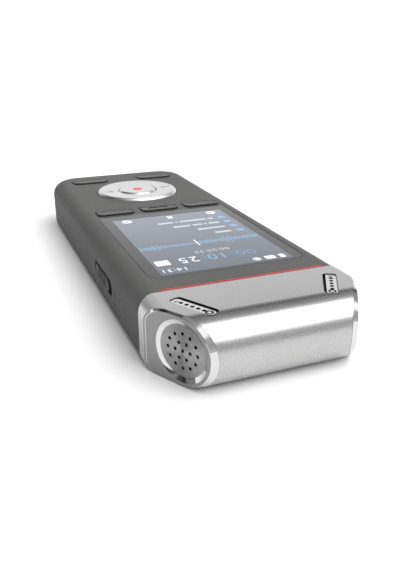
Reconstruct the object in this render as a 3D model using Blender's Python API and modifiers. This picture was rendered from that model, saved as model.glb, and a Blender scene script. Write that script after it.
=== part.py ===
"""Pocket dictation recorder with a slant-ended metal microphone head.

Metres. +Z points out of the display, +Y toward the microphone head, +X to the right
when facing the display. The origin is the middle of the flat back that it lies on.
"""
import math

import bmesh
import bpy
from mathutils import Matrix, Vector

MM = 0.001
GAP = 0.3 * MM              # air left between pieces that touch

# Overall size
WIDTH = 45.0 * MM
LENGTH = 125.0 * MM
THICKNESS = 14.1 * MM
HEAD_LENGTH = 18.0 * MM     # from the head's seam to the tip of its nose

# Body shell
WALL = 1.4 * MM
FRONT_WALL = 2.0 * MM
BACK_WALL = 1.1 * MM
PARTING = 2.1 * MM          # height of the line between the two housings
TOP_ROUND = 4.0 * MM
BACK_ROUND = 1.9 * MM
FAR_CORNER = 9.0 * MM       # plan radius at the end away from the head

# Head
SLANT = math.radians(30.0)  # turn of each end face away from the side
SLEEVE_WALL = 1.0 * MM
NOSE_CENTRE = 11.53 * MM    # start of the round nose, from the seam
SLANT_POINT = (17.97 * MM, 11.53 * MM)  # a point of the slanted end plane: x, and y from the seam
SHOULDER_X = 3.2 * MM       # half axes of the head's rounded long edge
SHOULDER_Z = 4.0 * MM
CAP_FACE = 0.35 * MM        # places along an end's normal, from the slanted end plane
CAP_BACK = -0.55 * MM
CAP_CHAMFER = 0.6 * MM
CAP_SPIGOT = -1.35 * MM
SPIGOT_RADIUS = 5.75 * MM
RECESS_RADIUS = 6.1 * MM
RECESS_FLOOR_RADIUS = 5.25 * MM
RECESS_DEPTH = 0.65 * MM
GRILLE_THICKNESS = 0.5 * MM
HOLE_RADIUS = 0.33 * MM
HOLE_RINGS = ((1, 0.0), (6, 1.74 * MM), (12, 3.46 * MM))
CAPSULE_RADIUS = 4.6 * MM
CAPSULE_SPAN = (-6.0 * MM, -1.4 * MM)
BOOT_RADII = (4.9 * MM, 5.7 * MM)
BOOT_SPAN = (-5.5 * MM, -1.7 * MM)
FRAME_END = -6.5 * MM
SLOT_CENTRE = (14.3 * MM, 8.3 * MM)     # x, and y from the seam
SLOT_SIZE = (9.8 * MM, 2.4 * MM)
SLOT_STRIP = (9.1 * MM, 1.75 * MM, 0.4 * MM)
SLOT_STRIP_LOW = 13.05 * MM
SLOT_HOLES = 6
SLOT_PITCH = 1.35 * MM

# Display
WINDOW_HALF = 17.8 * MM
WINDOW_SPAN = (6.5 * MM, 53.0 * MM)     # distances behind the seam
WINDOW_THICKNESS = 1.0 * MM
WINDOW_CORNERS = (2.8 * MM, 0.8 * MM)   # near the head, and at the keys
VIEW_HALF = 15.6 * MM
VIEW_SPAN = (7.3 * MM, 49.5 * MM)
MODULE_HALF = 17.0 * MM
MODULE_SPAN = (6.2 * MM, 51.8 * MM)
MODULE_THICKNESS = 2.3 * MM

# Red line across the front beside the head
STRIP_HALF = 18.0 * MM
STRIP_WIDTH = 0.95 * MM
STRIP_DEPTH = 0.9 * MM

# Keys
KEY_TRAVEL = 0.4 * MM
KEY_CLEARANCE = 0.3 * MM
KEY_RISE = 0.45 * MM        # how far the edge of a key nearest the head stands proud
KEY_FLANGE = 0.7 * MM
KEY_FLANGE_SPAN = (10.9 * MM, 11.5 * MM)
SOFT_KEY_SPAN = (54.05 * MM, 58.8 * MM)
SOFT_KEY_X = (7.6 * MM, 17.3 * MM)
HOME_KEY_HALF = 4.95 * MM
SOFT_KEY_CORNER = 1.3 * MM
HOME_BAR = (5.6 * MM, 0.7 * MM, 0.3 * MM)
HOME_BAR_BACK = 57.2 * MM
LOWER_KEY_SPAN = (93.0 * MM, 98.2 * MM)
LOWER_KEY_X = (5.3 * MM, 16.4 * MM)
LOWER_KEY_CORNER = 2.4 * MM

# Ring and record button
RING_BACK = 77.6 * MM       # centre of the ring, behind the seam
RING_RADIUS = 12.0 * MM
RING_HOLE = 6.0 * MM
RING_TOP = 14.9 * MM
RING_PLATE = 12.4 * MM      # underside of the ring's web
RING_SKIRT = 10.2 * MM      # inner radius of its skirt
RING_FLANGE = 12.9 * MM
RING_FLANGE_SPAN = (10.9 * MM, 11.5 * MM)
RING_CHAMFER = 0.45 * MM
RING_WELL = 12.4 * MM
RING_TILT_HEIGHT = 11.2 * MM
ROCKER_RADII = (7.4 * MM, 9.6 * MM)
ROCKER_SPAN = (11.0 * MM, 11.8 * MM)
BUTTON_RADIUS = 5.65 * MM
BUTTON_TOP = 14.95 * MM
BUTTON_FLANGE = 6.5 * MM
BUTTON_CHAMFER = 0.5 * MM

# Slide switch on the +X side
SWITCH_BACK = 29.75 * MM
SWITCH_HEIGHT = 6.7 * MM
SWITCH_POCKET = (17.0 * MM, 3.8 * MM, 0.8 * MM)
SWITCH_KNOB = (12.6 * MM, 3.2 * MM)
SWITCH_KNOB_PROUD = 0.25 * MM
SWITCH_TRAVEL = 1.8 * MM
SWITCH_STEM = (3.0 * MM, 1.4 * MM)
SWITCH_RIBS = 7
SWITCH_RIB_PITCH = 1.2 * MM
SWITCH_GROOVE = (0.5 * MM, 0.35 * MM)
SWITCH_BODY = (3.0 * MM, 12.0 * MM, 3.4 * MM)
PINHOLE_BACK = 83.8 * MM
PINHOLE_HEIGHT = 6.0 * MM
PINHOLE_RADIUS = 0.55 * MM

# Boards and what they carry
BOARD_HALF = 19.3 * MM
BOARD_SPAN = (6.6 * MM, 104.0 * MM)
BOARD_Z = (7.2 * MM, 8.2 * MM)
KEY_BOARD_SPAN = (55.0 * MM, 101.0 * MM)
KEY_BOARD_HALF = 17.5 * MM
KEY_BOARD_Z = (8.6 * MM, 9.4 * MM)
DOME_Z = (9.85 * MM, 10.25 * MM)
DOME_RADIUS = 1.8 * MM
DOME_FILM = 0.12 * MM
RING_DOME_RADIUS = 8.6 * MM
CHIPS = {                   # x, distance behind the seam, half sizes, height
    "processor_chip": (-8.0 * MM, 62.0 * MM, 5.0 * MM, 5.0 * MM, 1.0 * MM),
    "memory_chip": (7.0 * MM, 62.0 * MM, 5.0 * MM, 4.0 * MM, 0.9 * MM),
}
BATTERY_X = (-5.0 * MM, 17.0 * MM)
BATTERY_SPAN = (9.5 * MM, 53.0 * MM)
BATTERY_Z = (2.4 * MM, 6.6 * MM)
SPEAKER_BACK = 88.5 * MM
SPEAKER_RADIUS = 10.0 * MM
SPEAKER_Z = (2.5 * MM, 5.9 * MM)
GRILLE_SLOTS = 5
GRILLE_SLOT = (11.0 * MM, 1.0 * MM)
GRILLE_SLOT_PITCH = 2.4 * MM
SCREW_PLACES = ((18.0 * MM, 4.0 * MM), (15.2 * MM, 101.0 * MM))  # x, and distance behind the seam
BOSS_RADIUS = 2.0 * MM
SCREW_SHANK = 0.7 * MM
SCREW_HEAD = 1.45 * MM
SCREW_TOP = 7.0 * MM
SCREW_CROSS = (1.5 * MM, 0.35 * MM)

# Sockets
JACK_BACKS = (16.0 * MM, 26.0 * MM)     # earphone, microphone, on the -X side
JACK_SIZE = (12.0 * MM, 6.2 * MM, 4.5 * MM)
JACK_HEIGHT = 4.75 * MM
JACK_BORE = 1.78 * MM
CARD_BACK = 41.0 * MM
CARD_SIZE = (14.5 * MM, 13.0 * MM, 1.5 * MM)
CARD_HEIGHT = 5.7 * MM
CARD_SLOT = (11.4 * MM, 0.85 * MM)
USB_SIZE = (7.5 * MM, 5.4 * MM, 2.6 * MM)
USB_HEIGHT = 5.55 * MM

# Worked out from the above
SEAM = LENGTH / 2 - HEAD_LENGTH
FAR_END = -LENGTH / 2
HALF = WIDTH / 2
MIDDLE = THICKNESS / 2
CAVITY_TOP = THICKNESS - FRONT_WALL
NOSE = HEAD_LENGTH - NOSE_CENTRE
CAP_CENTRE = Vector((SLANT_POINT[0], SEAM + SLANT_POINT[1], MIDDLE))
OVER = 2.0 * MM             # how far a cutter runs past what it cuts

# Turns that stand a flat outline up
TO_SIDE = Matrix(((0, 0, 1, 0), (1, 0, 0, 0), (0, 1, 0, 0), (0, 0, 0, 1)))
TO_END = Matrix(((1, 0, 0, 0), (0, 0, -1, 0), (0, 1, 0, 0), (0, 0, 0, 1)))
TO_CAP = Matrix.Translation(CAP_CENTRE) @ Matrix((
    (-math.sin(SLANT), 0, math.cos(SLANT), 0),
    (math.cos(SLANT), 0, math.sin(SLANT), 0),
    (0, 1, 0, 0),
    (0, 0, 0, 1),
))

# name: colour, roughness, metallic
FINISHES = {
    "dark_plastic": ((0.060, 0.061, 0.060, 1), 0.55, 0.0),
    "silver_metal": ((0.62, 0.62, 0.62, 1), 0.28, 1.0),
    "polished_metal": ((0.75, 0.75, 0.76, 1), 0.12, 1.0),
    "silver_paint": ((0.68, 0.68, 0.68, 1), 0.40, 0.3),
    "red_plastic": ((0.45, 0.04, 0.04, 1), 0.35, 0.0),
    "window_glass": ((0.12, 0.13, 0.14, 1), 0.05, 0.0),
    "display": ((0.25, 0.30, 0.36, 1), 0.20, 0.0),
    "board": ((0.02, 0.18, 0.06, 1), 0.50, 0.0),
    "black_plastic": ((0.02, 0.02, 0.02, 1), 0.50, 0.0),
    "black_rubber": ((0.03, 0.03, 0.03, 1), 0.80, 0.0),
    "plated_steel": ((0.60, 0.60, 0.60, 1), 0.30, 1.0),
    "battery_foil": ((0.55, 0.56, 0.58, 1), 0.40, 0.6),
}


def clear_scene():
    for obj in list(bpy.data.objects):
        bpy.data.objects.remove(obj, do_unlink=True)


def new_collection(name):
    group = bpy.data.collections.new(name)
    bpy.context.scene.collection.children.link(group)
    return group


def make_material(name, colour, roughness, metallic):
    material = bpy.data.materials.new(name)
    material.use_nodes = True
    shader = material.node_tree.nodes["Principled BSDF"]
    shader.inputs["Base Color"].default_value = colour
    shader.inputs["Roughness"].default_value = roughness
    shader.inputs["Metallic"].default_value = metallic
    material.diffuse_color = colour
    return material


def tidy_mesh(mesh, join_flats=False):
    """Weld the mesh and turn its faces outward; join_flats makes each flat one face."""
    work = bmesh.new()
    work.from_mesh(mesh)
    bmesh.ops.remove_doubles(work, verts=work.verts, dist=1e-6)
    if join_flats:
        bmesh.ops.dissolve_limit(
            work, angle_limit=math.radians(0.5), verts=work.verts, edges=work.edges)
    bmesh.ops.recalc_face_normals(work, faces=work.faces)
    work.to_mesh(mesh)
    work.free()
    return mesh


def evaluated_mesh(obj):
    """The object's mesh with its modifiers, in world space."""
    bpy.context.view_layer.update()
    graph = bpy.context.evaluated_depsgraph_get()
    mesh = bpy.data.meshes.new_from_object(obj.evaluated_get(graph))
    mesh.transform(obj.matrix_world)
    return mesh


def extruded(outline, low, high, turn=Matrix.Identity(4)):
    """A closed outline, extruded from low to high along its own Z and then turned."""
    curve = bpy.data.curves.new("outline", "CURVE")
    curve.dimensions = "2D"
    curve.fill_mode = "BOTH"
    curve.extrude = (high - low) / 2
    spline = curve.splines.new("POLY")
    spline.points.add(len(outline) - 1)
    for point, (u, v) in zip(spline.points, outline):
        point.co = (u, v, 0, 1)
    spline.use_cyclic_u = True
    guide = bpy.data.objects.new("outline", curve)
    bpy.context.scene.collection.objects.link(guide)
    mesh = evaluated_mesh(guide)
    bpy.data.objects.remove(guide)
    mesh.transform(turn @ Matrix.Translation((0, 0, (low + high) / 2)))
    return tidy_mesh(mesh, join_flats=True)


def turned(profile, steps, turn=Matrix.Identity(4), ring=False):
    """A profile of (radius, height) points turned about Z, as a solid or as a ring."""
    mesh = bpy.data.meshes.new("profile")
    count = len(profile)
    edges = [(i, i + 1) for i in range(count - 1)]
    if ring:
        edges.append((count - 1, 0))
    mesh.from_pydata([(radius, 0, height) for radius, height in profile], edges, [])
    guide = bpy.data.objects.new("profile", mesh)
    bpy.context.scene.collection.objects.link(guide)
    screw = guide.modifiers.new("Screw", "SCREW")
    screw.steps = steps
    screw.render_steps = steps
    screw.use_merge_vertices = True
    screw.merge_threshold = 1e-6
    solid = evaluated_mesh(guide)
    bpy.data.objects.remove(guide)
    solid.transform(turn)
    return tidy_mesh(solid)


def cylinder(radius, low, high, sides, turn=Matrix.Identity(4)):
    work = bmesh.new()
    bmesh.ops.create_cone(
        work, cap_ends=True, segments=sides, radius1=radius, radius2=radius, depth=high - low)
    mesh = bpy.data.meshes.new("cylinder")
    work.to_mesh(mesh)
    work.free()
    mesh.transform(turn @ Matrix.Translation((0, 0, (low + high) / 2)))
    return mesh


def box(low, high):
    size = Vector(high) - Vector(low)
    centre = (Vector(high) + Vector(low)) / 2
    work = bmesh.new()
    bmesh.ops.create_cube(work, size=1)
    mesh = bpy.data.meshes.new("box")
    work.to_mesh(mesh)
    work.free()
    mesh.transform(Matrix.Translation(centre) @ Matrix.Diagonal((*size, 1)))
    return mesh


def arc(centre, radius_u, radius_v, start, end, steps):
    """Points of an elliptical arc, its angles in degrees."""
    points = []
    for i in range(steps + 1):
        angle = math.radians(start + (end - start) * i / steps)
        points.append((centre[0] + radius_u * math.cos(angle), centre[1] + radius_v * math.sin(angle)))
    return points


def rounded_rectangle(low, high, near_corner, far_corner, steps=5):
    """A rectangle whose corners at high v are rounded by near_corner, and at low v by far_corner."""
    left, bottom = low
    right, top = high
    near = near_corner
    far = far_corner
    return (
        arc((right - near, top - near), near, near, 0, 90, steps)
        + arc((left + near, top - near), near, near, 90, 180, steps)
        + arc((left + far, bottom + far), far, far, 180, 270, steps)
        + arc((right - far, bottom + far), far, far, 270, 360, steps)
    )


def bevel_edges(mesh, pick, width, segments):
    """Round or chamfer the edges that pick(edge) chooses."""
    work = bmesh.new()
    work.from_mesh(mesh)
    edges = [edge for edge in work.edges if pick(edge)]
    bmesh.ops.bevel(
        work, geom=edges, offset=width, offset_type="OFFSET", segments=segments,
        profile=0.5, affect="EDGES", clamp_overlap=False)
    work.to_mesh(mesh)
    work.free()
    return tidy_mesh(mesh)


def mirrored(mesh):
    """A copy of the mesh on the other side of the X = 0 plane."""
    copy = mesh.copy()
    copy.transform(Matrix.Diagonal((-1, 1, 1, 1)))
    return tidy_mesh(copy)


def add_part(name, mesh, finish, origin=(0, 0, 0)):
    """A named piece with its origin at the given place."""
    mesh.name = name
    mesh.transform(Matrix.Translation(-Vector(origin)))
    mesh.materials.clear()
    mesh.materials.append(MATERIALS[finish])
    obj = bpy.data.objects.new(name, mesh)
    obj.location = origin
    PARTS.objects.link(obj)
    return obj


def boolean(target, mesh, operation="DIFFERENCE"):
    """Cut the target with the mesh, or join it, or keep what both share."""
    tool = bpy.data.objects.new("cutter", mesh)
    tool.hide_render = True
    tool.display_type = "WIRE"
    CUTTERS.objects.link(tool)
    modifier = target.modifiers.new(operation.title(), "BOOLEAN")
    modifier.operation = operation
    modifier.solver = "EXACT"
    modifier.object = tool


def combined(base, steps):
    """The mesh that a chain of (operation, mesh) Booleans makes of the base mesh."""
    guide = bpy.data.objects.new("guide", base)
    bpy.context.scene.collection.objects.link(guide)
    for operation, mesh in steps:
        boolean(guide, mesh, operation)
    result = evaluated_mesh(guide)
    bpy.data.objects.remove(guide)
    return tidy_mesh(result)


def behind_seam(distance):
    return SEAM - distance


# Body shell

def plan_outline(inset, near_end):
    """The body seen from the front: square at the head, rounded at the far end."""
    side = HALF - inset
    end = FAR_END + inset
    corner = FAR_CORNER - inset
    return (
        [(side, near_end), (-side, near_end)]
        + arc((-side + corner, end + corner), corner, corner, 180, 270, 10)
        + arc((side - corner, end + corner), corner, corner, 270, 360, 10)
    )


def body_block(inset, near_end, low, high, round_level, width, segments):
    """The body's outline extruded, with its edges at one level rounded except at the head."""
    mesh = extruded(plan_outline(inset, near_end), low, high)

    def on_rim(edge):
        at_level = all(abs(vert.co.z - round_level) < 1e-6 for vert in edge.verts)
        at_head = all(abs(vert.co.y - near_end) < 1e-6 for vert in edge.verts)
        return at_level and not at_head

    return bevel_edges(mesh, on_rim, width, segments)


def window_outline(grow):
    return rounded_rectangle(
        (-WINDOW_HALF - grow, behind_seam(WINDOW_SPAN[1]) - grow),
        (WINDOW_HALF + grow, behind_seam(WINDOW_SPAN[0]) + grow),
        WINDOW_CORNERS[0] + grow, WINDOW_CORNERS[1] + grow)


def key_outline(x_low, x_high, span, corner, grow):
    """A key seen from the front; the corners toward the head are the round ones."""
    return rounded_rectangle(
        (x_low - grow, behind_seam(span[1]) - grow),
        (x_high + grow, behind_seam(span[0]) + grow),
        corner + grow, 0.3 * MM + grow, 4)


KEYS = {
    "soft_key_right": (SOFT_KEY_X[0], SOFT_KEY_X[1], SOFT_KEY_SPAN, SOFT_KEY_CORNER),
    "home_key": (-HOME_KEY_HALF, HOME_KEY_HALF, SOFT_KEY_SPAN, SOFT_KEY_CORNER),
    "soft_key_left": (-SOFT_KEY_X[1], -SOFT_KEY_X[0], SOFT_KEY_SPAN, SOFT_KEY_CORNER),
    "lower_key_right": (LOWER_KEY_X[0], LOWER_KEY_X[1], LOWER_KEY_SPAN, LOWER_KEY_CORNER),
    "lower_key_left": (-LOWER_KEY_X[1], -LOWER_KEY_X[0], LOWER_KEY_SPAN, LOWER_KEY_CORNER),
}


def key_centre(key):
    x_low, x_high, span, _ = KEYS[key]
    return Vector(((x_low + x_high) / 2, behind_seam((span[0] + span[1]) / 2), THICKNESS))


def screw_places():
    return [(side * x, behind_seam(back)) for x, back in SCREW_PLACES for side in (1, -1)]


def slide_pocket(length, height):
    """A slot seen from the side, with round ends, centred on the slide switch."""
    y = behind_seam(SWITCH_BACK)
    corner = height / 2
    return rounded_rectangle(
        (y - length / 2, SWITCH_HEIGHT - height / 2),
        (y + length / 2, SWITCH_HEIGHT + height / 2), corner, corner, 6)


def make_front_housing():
    seam_face = SEAM - GAP / 2
    shell = body_block(
        0, seam_face, PARTING + GAP / 2, THICKNESS, THICKNESS, TOP_ROUND, 5)
    housing = add_part("front_housing", shell, "dark_plastic")
    cavity = body_block(
        WALL, seam_face - WALL, 0, CAVITY_TOP, CAVITY_TOP, TOP_ROUND - WALL, 3)
    boolean(housing, cavity)
    for x, y in screw_places():
        place = Matrix.Translation((x, y, 0))
        boss = cylinder(BOSS_RADIUS, PARTING + GAP, CAVITY_TOP + 0.5 * MM, 16, place)
        boolean(housing, boss, "UNION")
    for x, y in screw_places():
        place = Matrix.Translation((x, y, 0))
        boolean(housing, cylinder(SCREW_SHANK + GAP, 0, SCREW_TOP + 1 * MM, 12, place))
    boolean(housing, extruded(
        window_outline(GAP), THICKNESS - WINDOW_THICKNESS - GAP, THICKNESS + OVER))
    boolean(housing, box(
        (-VIEW_HALF, behind_seam(VIEW_SPAN[1]), CAVITY_TOP - OVER),
        (VIEW_HALF, behind_seam(VIEW_SPAN[0]), THICKNESS + OVER)))
    for x_low, x_high, span, corner in KEYS.values():
        opening = key_outline(x_low, x_high, span, corner, KEY_CLEARANCE)
        boolean(housing, extruded(opening, CAVITY_TOP - 1 * MM, THICKNESS + OVER))
    well = Matrix.Translation((0, behind_seam(RING_BACK), 0))
    boolean(housing, cylinder(RING_WELL, CAVITY_TOP - 1 * MM, THICKNESS + OVER, 64, well))
    boolean(housing, box(
        (-STRIP_HALF - GAP, seam_face - STRIP_WIDTH - GAP, THICKNESS - STRIP_DEPTH - GAP),
        (STRIP_HALF + GAP, seam_face + OVER, THICKNESS + OVER)))
    boolean(housing, box(
        (-11 * MM, SEAM - 3 * MM, 4.0 * MM), (11 * MM, SEAM + OVER, 10.5 * MM)))
    pocket = slide_pocket(SWITCH_POCKET[0], SWITCH_POCKET[1])
    boolean(housing, extruded(pocket, HALF - SWITCH_POCKET[2], HALF + OVER, TO_SIDE))
    stem_slot = slide_pocket(SWITCH_STEM[0] + 2 * SWITCH_TRAVEL + 2 * GAP, SWITCH_STEM[1] + 2 * GAP)
    boolean(housing, extruded(stem_slot, HALF - WALL - OVER, HALF + OVER, TO_SIDE))
    pinhole = Matrix.Translation((0, behind_seam(PINHOLE_BACK), PINHOLE_HEIGHT)) @ TO_SIDE
    boolean(housing, cylinder(PINHOLE_RADIUS, HALF - WALL - OVER, HALF + OVER, 12, pinhole))
    for back in JACK_BACKS:
        place = Matrix.Translation((0, behind_seam(back), JACK_HEIGHT)) @ TO_SIDE
        boolean(housing, cylinder(JACK_BORE + 0.4 * MM, -HALF - OVER, -HALF + WALL + OVER, 20, place))
    y = behind_seam(CARD_BACK)
    card_half = CARD_SLOT[0] / 2 + 0.3 * MM
    boolean(housing, box(
        (-HALF - OVER, y - card_half, CARD_HEIGHT - 0.7 * MM),
        (-HALF + WALL + OVER, y + card_half, CARD_HEIGHT + 0.7 * MM)))
    boolean(housing, box(
        (-USB_SIZE[0] / 2 - GAP, FAR_END - OVER, USB_HEIGHT - USB_SIZE[2] / 2 - GAP),
        (USB_SIZE[0] / 2 + GAP, FAR_END + WALL + OVER, USB_HEIGHT + USB_SIZE[2] / 2 + GAP)))


def make_rear_housing():
    seam_face = SEAM - GAP / 2
    shell = body_block(0, seam_face, 0, PARTING - GAP / 2, 0, BACK_ROUND, 4)
    housing = add_part("rear_housing", shell, "dark_plastic")
    cavity = extruded(plan_outline(WALL + 0.6 * MM, seam_face - WALL), BACK_WALL, PARTING + OVER)
    boolean(housing, cavity)
    for x, y in screw_places():
        place = Matrix.Translation((x, y, 0))
        boolean(housing, cylinder(
            SCREW_HEAD + 1.2 * MM, 0.5 * MM, PARTING - GAP / 2, 16, place), "UNION")
    for x, y in screw_places():
        place = Matrix.Translation((x, y, 0))
        boolean(housing, cylinder(SCREW_HEAD + GAP, -OVER, 1.2 * MM, 16, place))
        boolean(housing, cylinder(SCREW_SHANK + GAP, -OVER, PARTING + OVER, 12, place))
    middle = (GRILLE_SLOTS - 1) / 2
    for i in range(GRILLE_SLOTS):
        y = behind_seam(SPEAKER_BACK) + (i - middle) * GRILLE_SLOT_PITCH
        length, width = GRILLE_SLOT
        slot = rounded_rectangle(
            (-length / 2, y - width / 2), (length / 2, y + width / 2), width / 2, width / 2, 4)
        boolean(housing, extruded(slot, -OVER, PARTING + OVER))


def make_accent_strip():
    y = SEAM - GAP / 2
    strip = box(
        (-STRIP_HALF, y - STRIP_WIDTH, THICKNESS - STRIP_DEPTH), (STRIP_HALF, y, THICKNESS))
    add_part("accent_strip", strip, "red_plastic")


def make_case_screws():
    """Countersunk screws with a cross recess, driven in from the back."""
    profile = [
        (0, 0.25 * MM), (SCREW_HEAD, 0.25 * MM), (SCREW_HEAD, 0.55 * MM),
        (SCREW_SHANK, 0.9 * MM), (SCREW_SHANK, SCREW_TOP), (0, SCREW_TOP)]
    for number, (x, y) in enumerate(screw_places(), start=1):
        screw = add_part(f"case_screw_{number}", turned(profile, 14), "plated_steel")
        screw.location = (x, y, 0)
        for long, wide in ((SCREW_CROSS[0], SCREW_CROSS[1]), (SCREW_CROSS[1], SCREW_CROSS[0])):
            boolean(screw, box((x - long / 2, y - wide / 2, -OVER), (x + long / 2, y + wide / 2, 0.6 * MM)))


# Display

def make_display():
    window = extruded(window_outline(0), THICKNESS - WINDOW_THICKNESS, THICKNESS)
    add_part("display_window", window, "window_glass")
    top = CAVITY_TOP - GAP
    module = box(
        (-MODULE_HALF, behind_seam(MODULE_SPAN[1]), top - MODULE_THICKNESS),
        (MODULE_HALF, behind_seam(MODULE_SPAN[0]), top))
    add_part("display_module", module, "display")


# Keys, ring and button

def make_key(name):
    """A key cap that rises toward the head, on a flange that keeps it in the housing."""
    x_low, x_high, span, corner = KEYS[name]
    cap = extruded(key_outline(x_low, x_high, span, corner, 0), KEY_FLANGE_SPAN[0], THICKNESS)
    length = span[1] - span[0]
    for vert in cap.vertices:
        if vert.co.z > CAVITY_TOP:
            vert.co.z += KEY_RISE * (vert.co.y - behind_seam(span[1])) / length
    flange_outline = key_outline(x_low, x_high, span, corner, KEY_FLANGE)
    flange = extruded(flange_outline, *KEY_FLANGE_SPAN)
    mesh = combined(cap, [("UNION", flange)])
    return add_part(name, mesh, "dark_plastic", key_centre(name))


def make_keys():
    for name in KEYS:
        key = make_key(name)
        if name == "home_key":
            length, width, depth = HOME_BAR
            y = behind_seam(HOME_BAR_BACK)
            boolean(key, box(
                (-length / 2, y - width / 2, THICKNESS - depth),
                (length / 2, y + width / 2, THICKNESS + OVER)))


def make_ring_and_button():
    centre = Vector((0, behind_seam(RING_BACK), RING_TILT_HEIGHT))
    place = Matrix.Translation((centre.x, centre.y, 0))
    low, high = RING_FLANGE_SPAN
    ring = [
        (RING_HOLE, RING_TOP), (RING_RADIUS - RING_CHAMFER, RING_TOP),
        (RING_RADIUS, RING_TOP - RING_CHAMFER), (RING_RADIUS, high), (RING_FLANGE, high),
        (RING_FLANGE, low), (RING_SKIRT, low), (RING_SKIRT, RING_PLATE), (RING_HOLE, RING_PLATE)]
    add_part("nav_ring", turned(ring, 48, place, ring=True), "silver_paint", centre)
    inner, outer = ROCKER_RADII
    rocker = [
        (inner, ROCKER_SPAN[1]), (outer, ROCKER_SPAN[1]), (outer, ROCKER_SPAN[0]),
        (inner, ROCKER_SPAN[0])]
    add_part("ring_rocker", turned(rocker, 32, place, ring=True), "black_plastic", centre)
    button = [
        (0, BUTTON_TOP), (BUTTON_RADIUS - BUTTON_CHAMFER, BUTTON_TOP),
        (BUTTON_RADIUS, BUTTON_TOP - BUTTON_CHAMFER), (BUTTON_RADIUS, high),
        (BUTTON_FLANGE, high), (BUTTON_FLANGE, low), (0, low)]
    add_part("record_button", turned(button, 36, place), "silver_paint", centre)


# Slide switch

def make_slide_switch():
    y = behind_seam(SWITCH_BACK)
    floor = HALF - SWITCH_POCKET[2] + GAP
    top = HALF + SWITCH_KNOB_PROUD
    knob = extruded(slide_pocket(*SWITCH_KNOB), floor, top, TO_SIDE)
    stem = extruded(slide_pocket(*SWITCH_STEM), HALF - WALL - 0.2 * MM, floor + 0.3 * MM, TO_SIDE)
    steps = [("UNION", stem)]
    middle = (SWITCH_RIBS - 1) / 2
    width, depth = SWITCH_GROOVE
    for i in range(SWITCH_RIBS):
        groove_y = y + (i - middle) * SWITCH_RIB_PITCH
        groove = box(
            (top - depth, groove_y - width / 2, SWITCH_HEIGHT - SWITCH_KNOB[1]),
            (top + OVER, groove_y + width / 2, SWITCH_HEIGHT + SWITCH_KNOB[1]))
        steps.append(("DIFFERENCE", groove))
    origin = (HALF, y, SWITCH_HEIGHT)
    add_part("slide_switch_knob", combined(knob, steps), "dark_plastic", origin)
    depth_x, length, height = SWITCH_BODY
    x_high = HALF - WALL - 0.2 * MM - GAP
    body = box(
        (x_high - depth_x, y - length / 2, SWITCH_HEIGHT - height / 2),
        (x_high, y + length / 2, SWITCH_HEIGHT + height / 2))
    add_part("slide_switch_body", body, "plated_steel")


# Head

def nose_profile(inset, start):
    """The head from the side, open toward the body at start."""
    return (
        [(start, inset), (SEAM + NOSE_CENTRE, inset)]
        + arc((SEAM + NOSE_CENTRE, MIDDLE), NOSE - inset, MIDDLE - inset, -84, 84, 22)
        + [(SEAM + NOSE_CENTRE, THICKNESS - inset), (start, THICKNESS - inset)]
    )


def head_section(inset):
    """The head from its tip: wide rounding at the front edges, small at the back."""
    side = HALF - inset
    top = THICKNESS - inset
    across = SHOULDER_X - inset
    down = SHOULDER_Z - inset
    back = BACK_ROUND - inset * 0.5
    return (
        arc((side - across, top - down), across, down, 0, 90, 6)
        + arc((-side + across, top - down), across, down, 90, 180, 6)
        + arc((-side + back, inset + back), back, back, 180, 270, 4)
        + arc((side - back, inset + back), back, back, 270, 360, 4)
    )


def head_block(inset, start):
    """The head as a full block, without its slanted ends."""
    side_view = extruded(nose_profile(inset, start), -HALF - OVER, HALF + OVER, TO_SIDE)
    end_view = extruded(
        head_section(inset), -SEAM - HEAD_LENGTH - OVER, -SEAM + 2 * OVER + 4 * MM, TO_END)
    return combined(side_view, [("INTERSECT", end_view)])


def end_slab(low, high):
    """A slab along the slanted end, between two places on its normal."""
    slab = box((-0.03, -0.02, low), (0.03, 0.02, high))
    slab.transform(TO_CAP)
    return slab


def make_head_sleeve():
    start = SEAM + GAP / 2
    inside = head_block(SLEEVE_WALL, start - 3 * MM)
    outer = head_block(0, start)
    beyond = end_slab(CAP_BACK - GAP, 30 * MM)
    sleeve = add_part("head_sleeve", combined(
        outer, [("DIFFERENCE", beyond), ("DIFFERENCE", mirrored(beyond))]), "silver_metal")
    boolean(sleeve, inside)
    length, width = SLOT_SIZE
    outline = rounded_rectangle(
        (-length / 2, -width / 2), (length / 2, width / 2), width * 0.3, width * 0.3, 4)
    slot = extruded(outline, SLOT_STRIP_LOW - OVER, THICKNESS + OVER, slot_place())
    boolean(sleeve, slot)
    boolean(sleeve, mirrored(slot))


def slot_place():
    """Turns a shape along X so that it lies along the right-hand slot."""
    centre = Matrix.Translation((SLOT_CENTRE[0], SEAM + SLOT_CENTRE[1], 0))
    return centre @ Matrix.Rotation(math.radians(90) + SLANT, 4, "Z")


def make_slot_grilles():
    length, width, thickness = SLOT_STRIP
    low = SLOT_STRIP_LOW
    outline = rounded_rectangle(
        (-length / 2, -width / 2), (length / 2, width / 2), width * 0.3, width * 0.3, 4)
    strip = extruded(outline, low, low + thickness, slot_place())
    steps = []
    middle = (SLOT_HOLES - 1) / 2
    for i in range(SLOT_HOLES):
        u = (i - middle) * SLOT_PITCH
        hole = rounded_rectangle(
            (u - 0.42 * MM, -0.3 * MM), (u + 0.42 * MM, 0.3 * MM), 0.28 * MM, 0.28 * MM, 3)
        steps.append(("DIFFERENCE", extruded(hole, low - OVER, low + OVER, slot_place())))
    strip = combined(strip, steps)
    left = mirrored(strip)
    add_part("slot_grille_right", strip, "polished_metal")
    add_part("slot_grille_left", left, "polished_metal")


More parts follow.
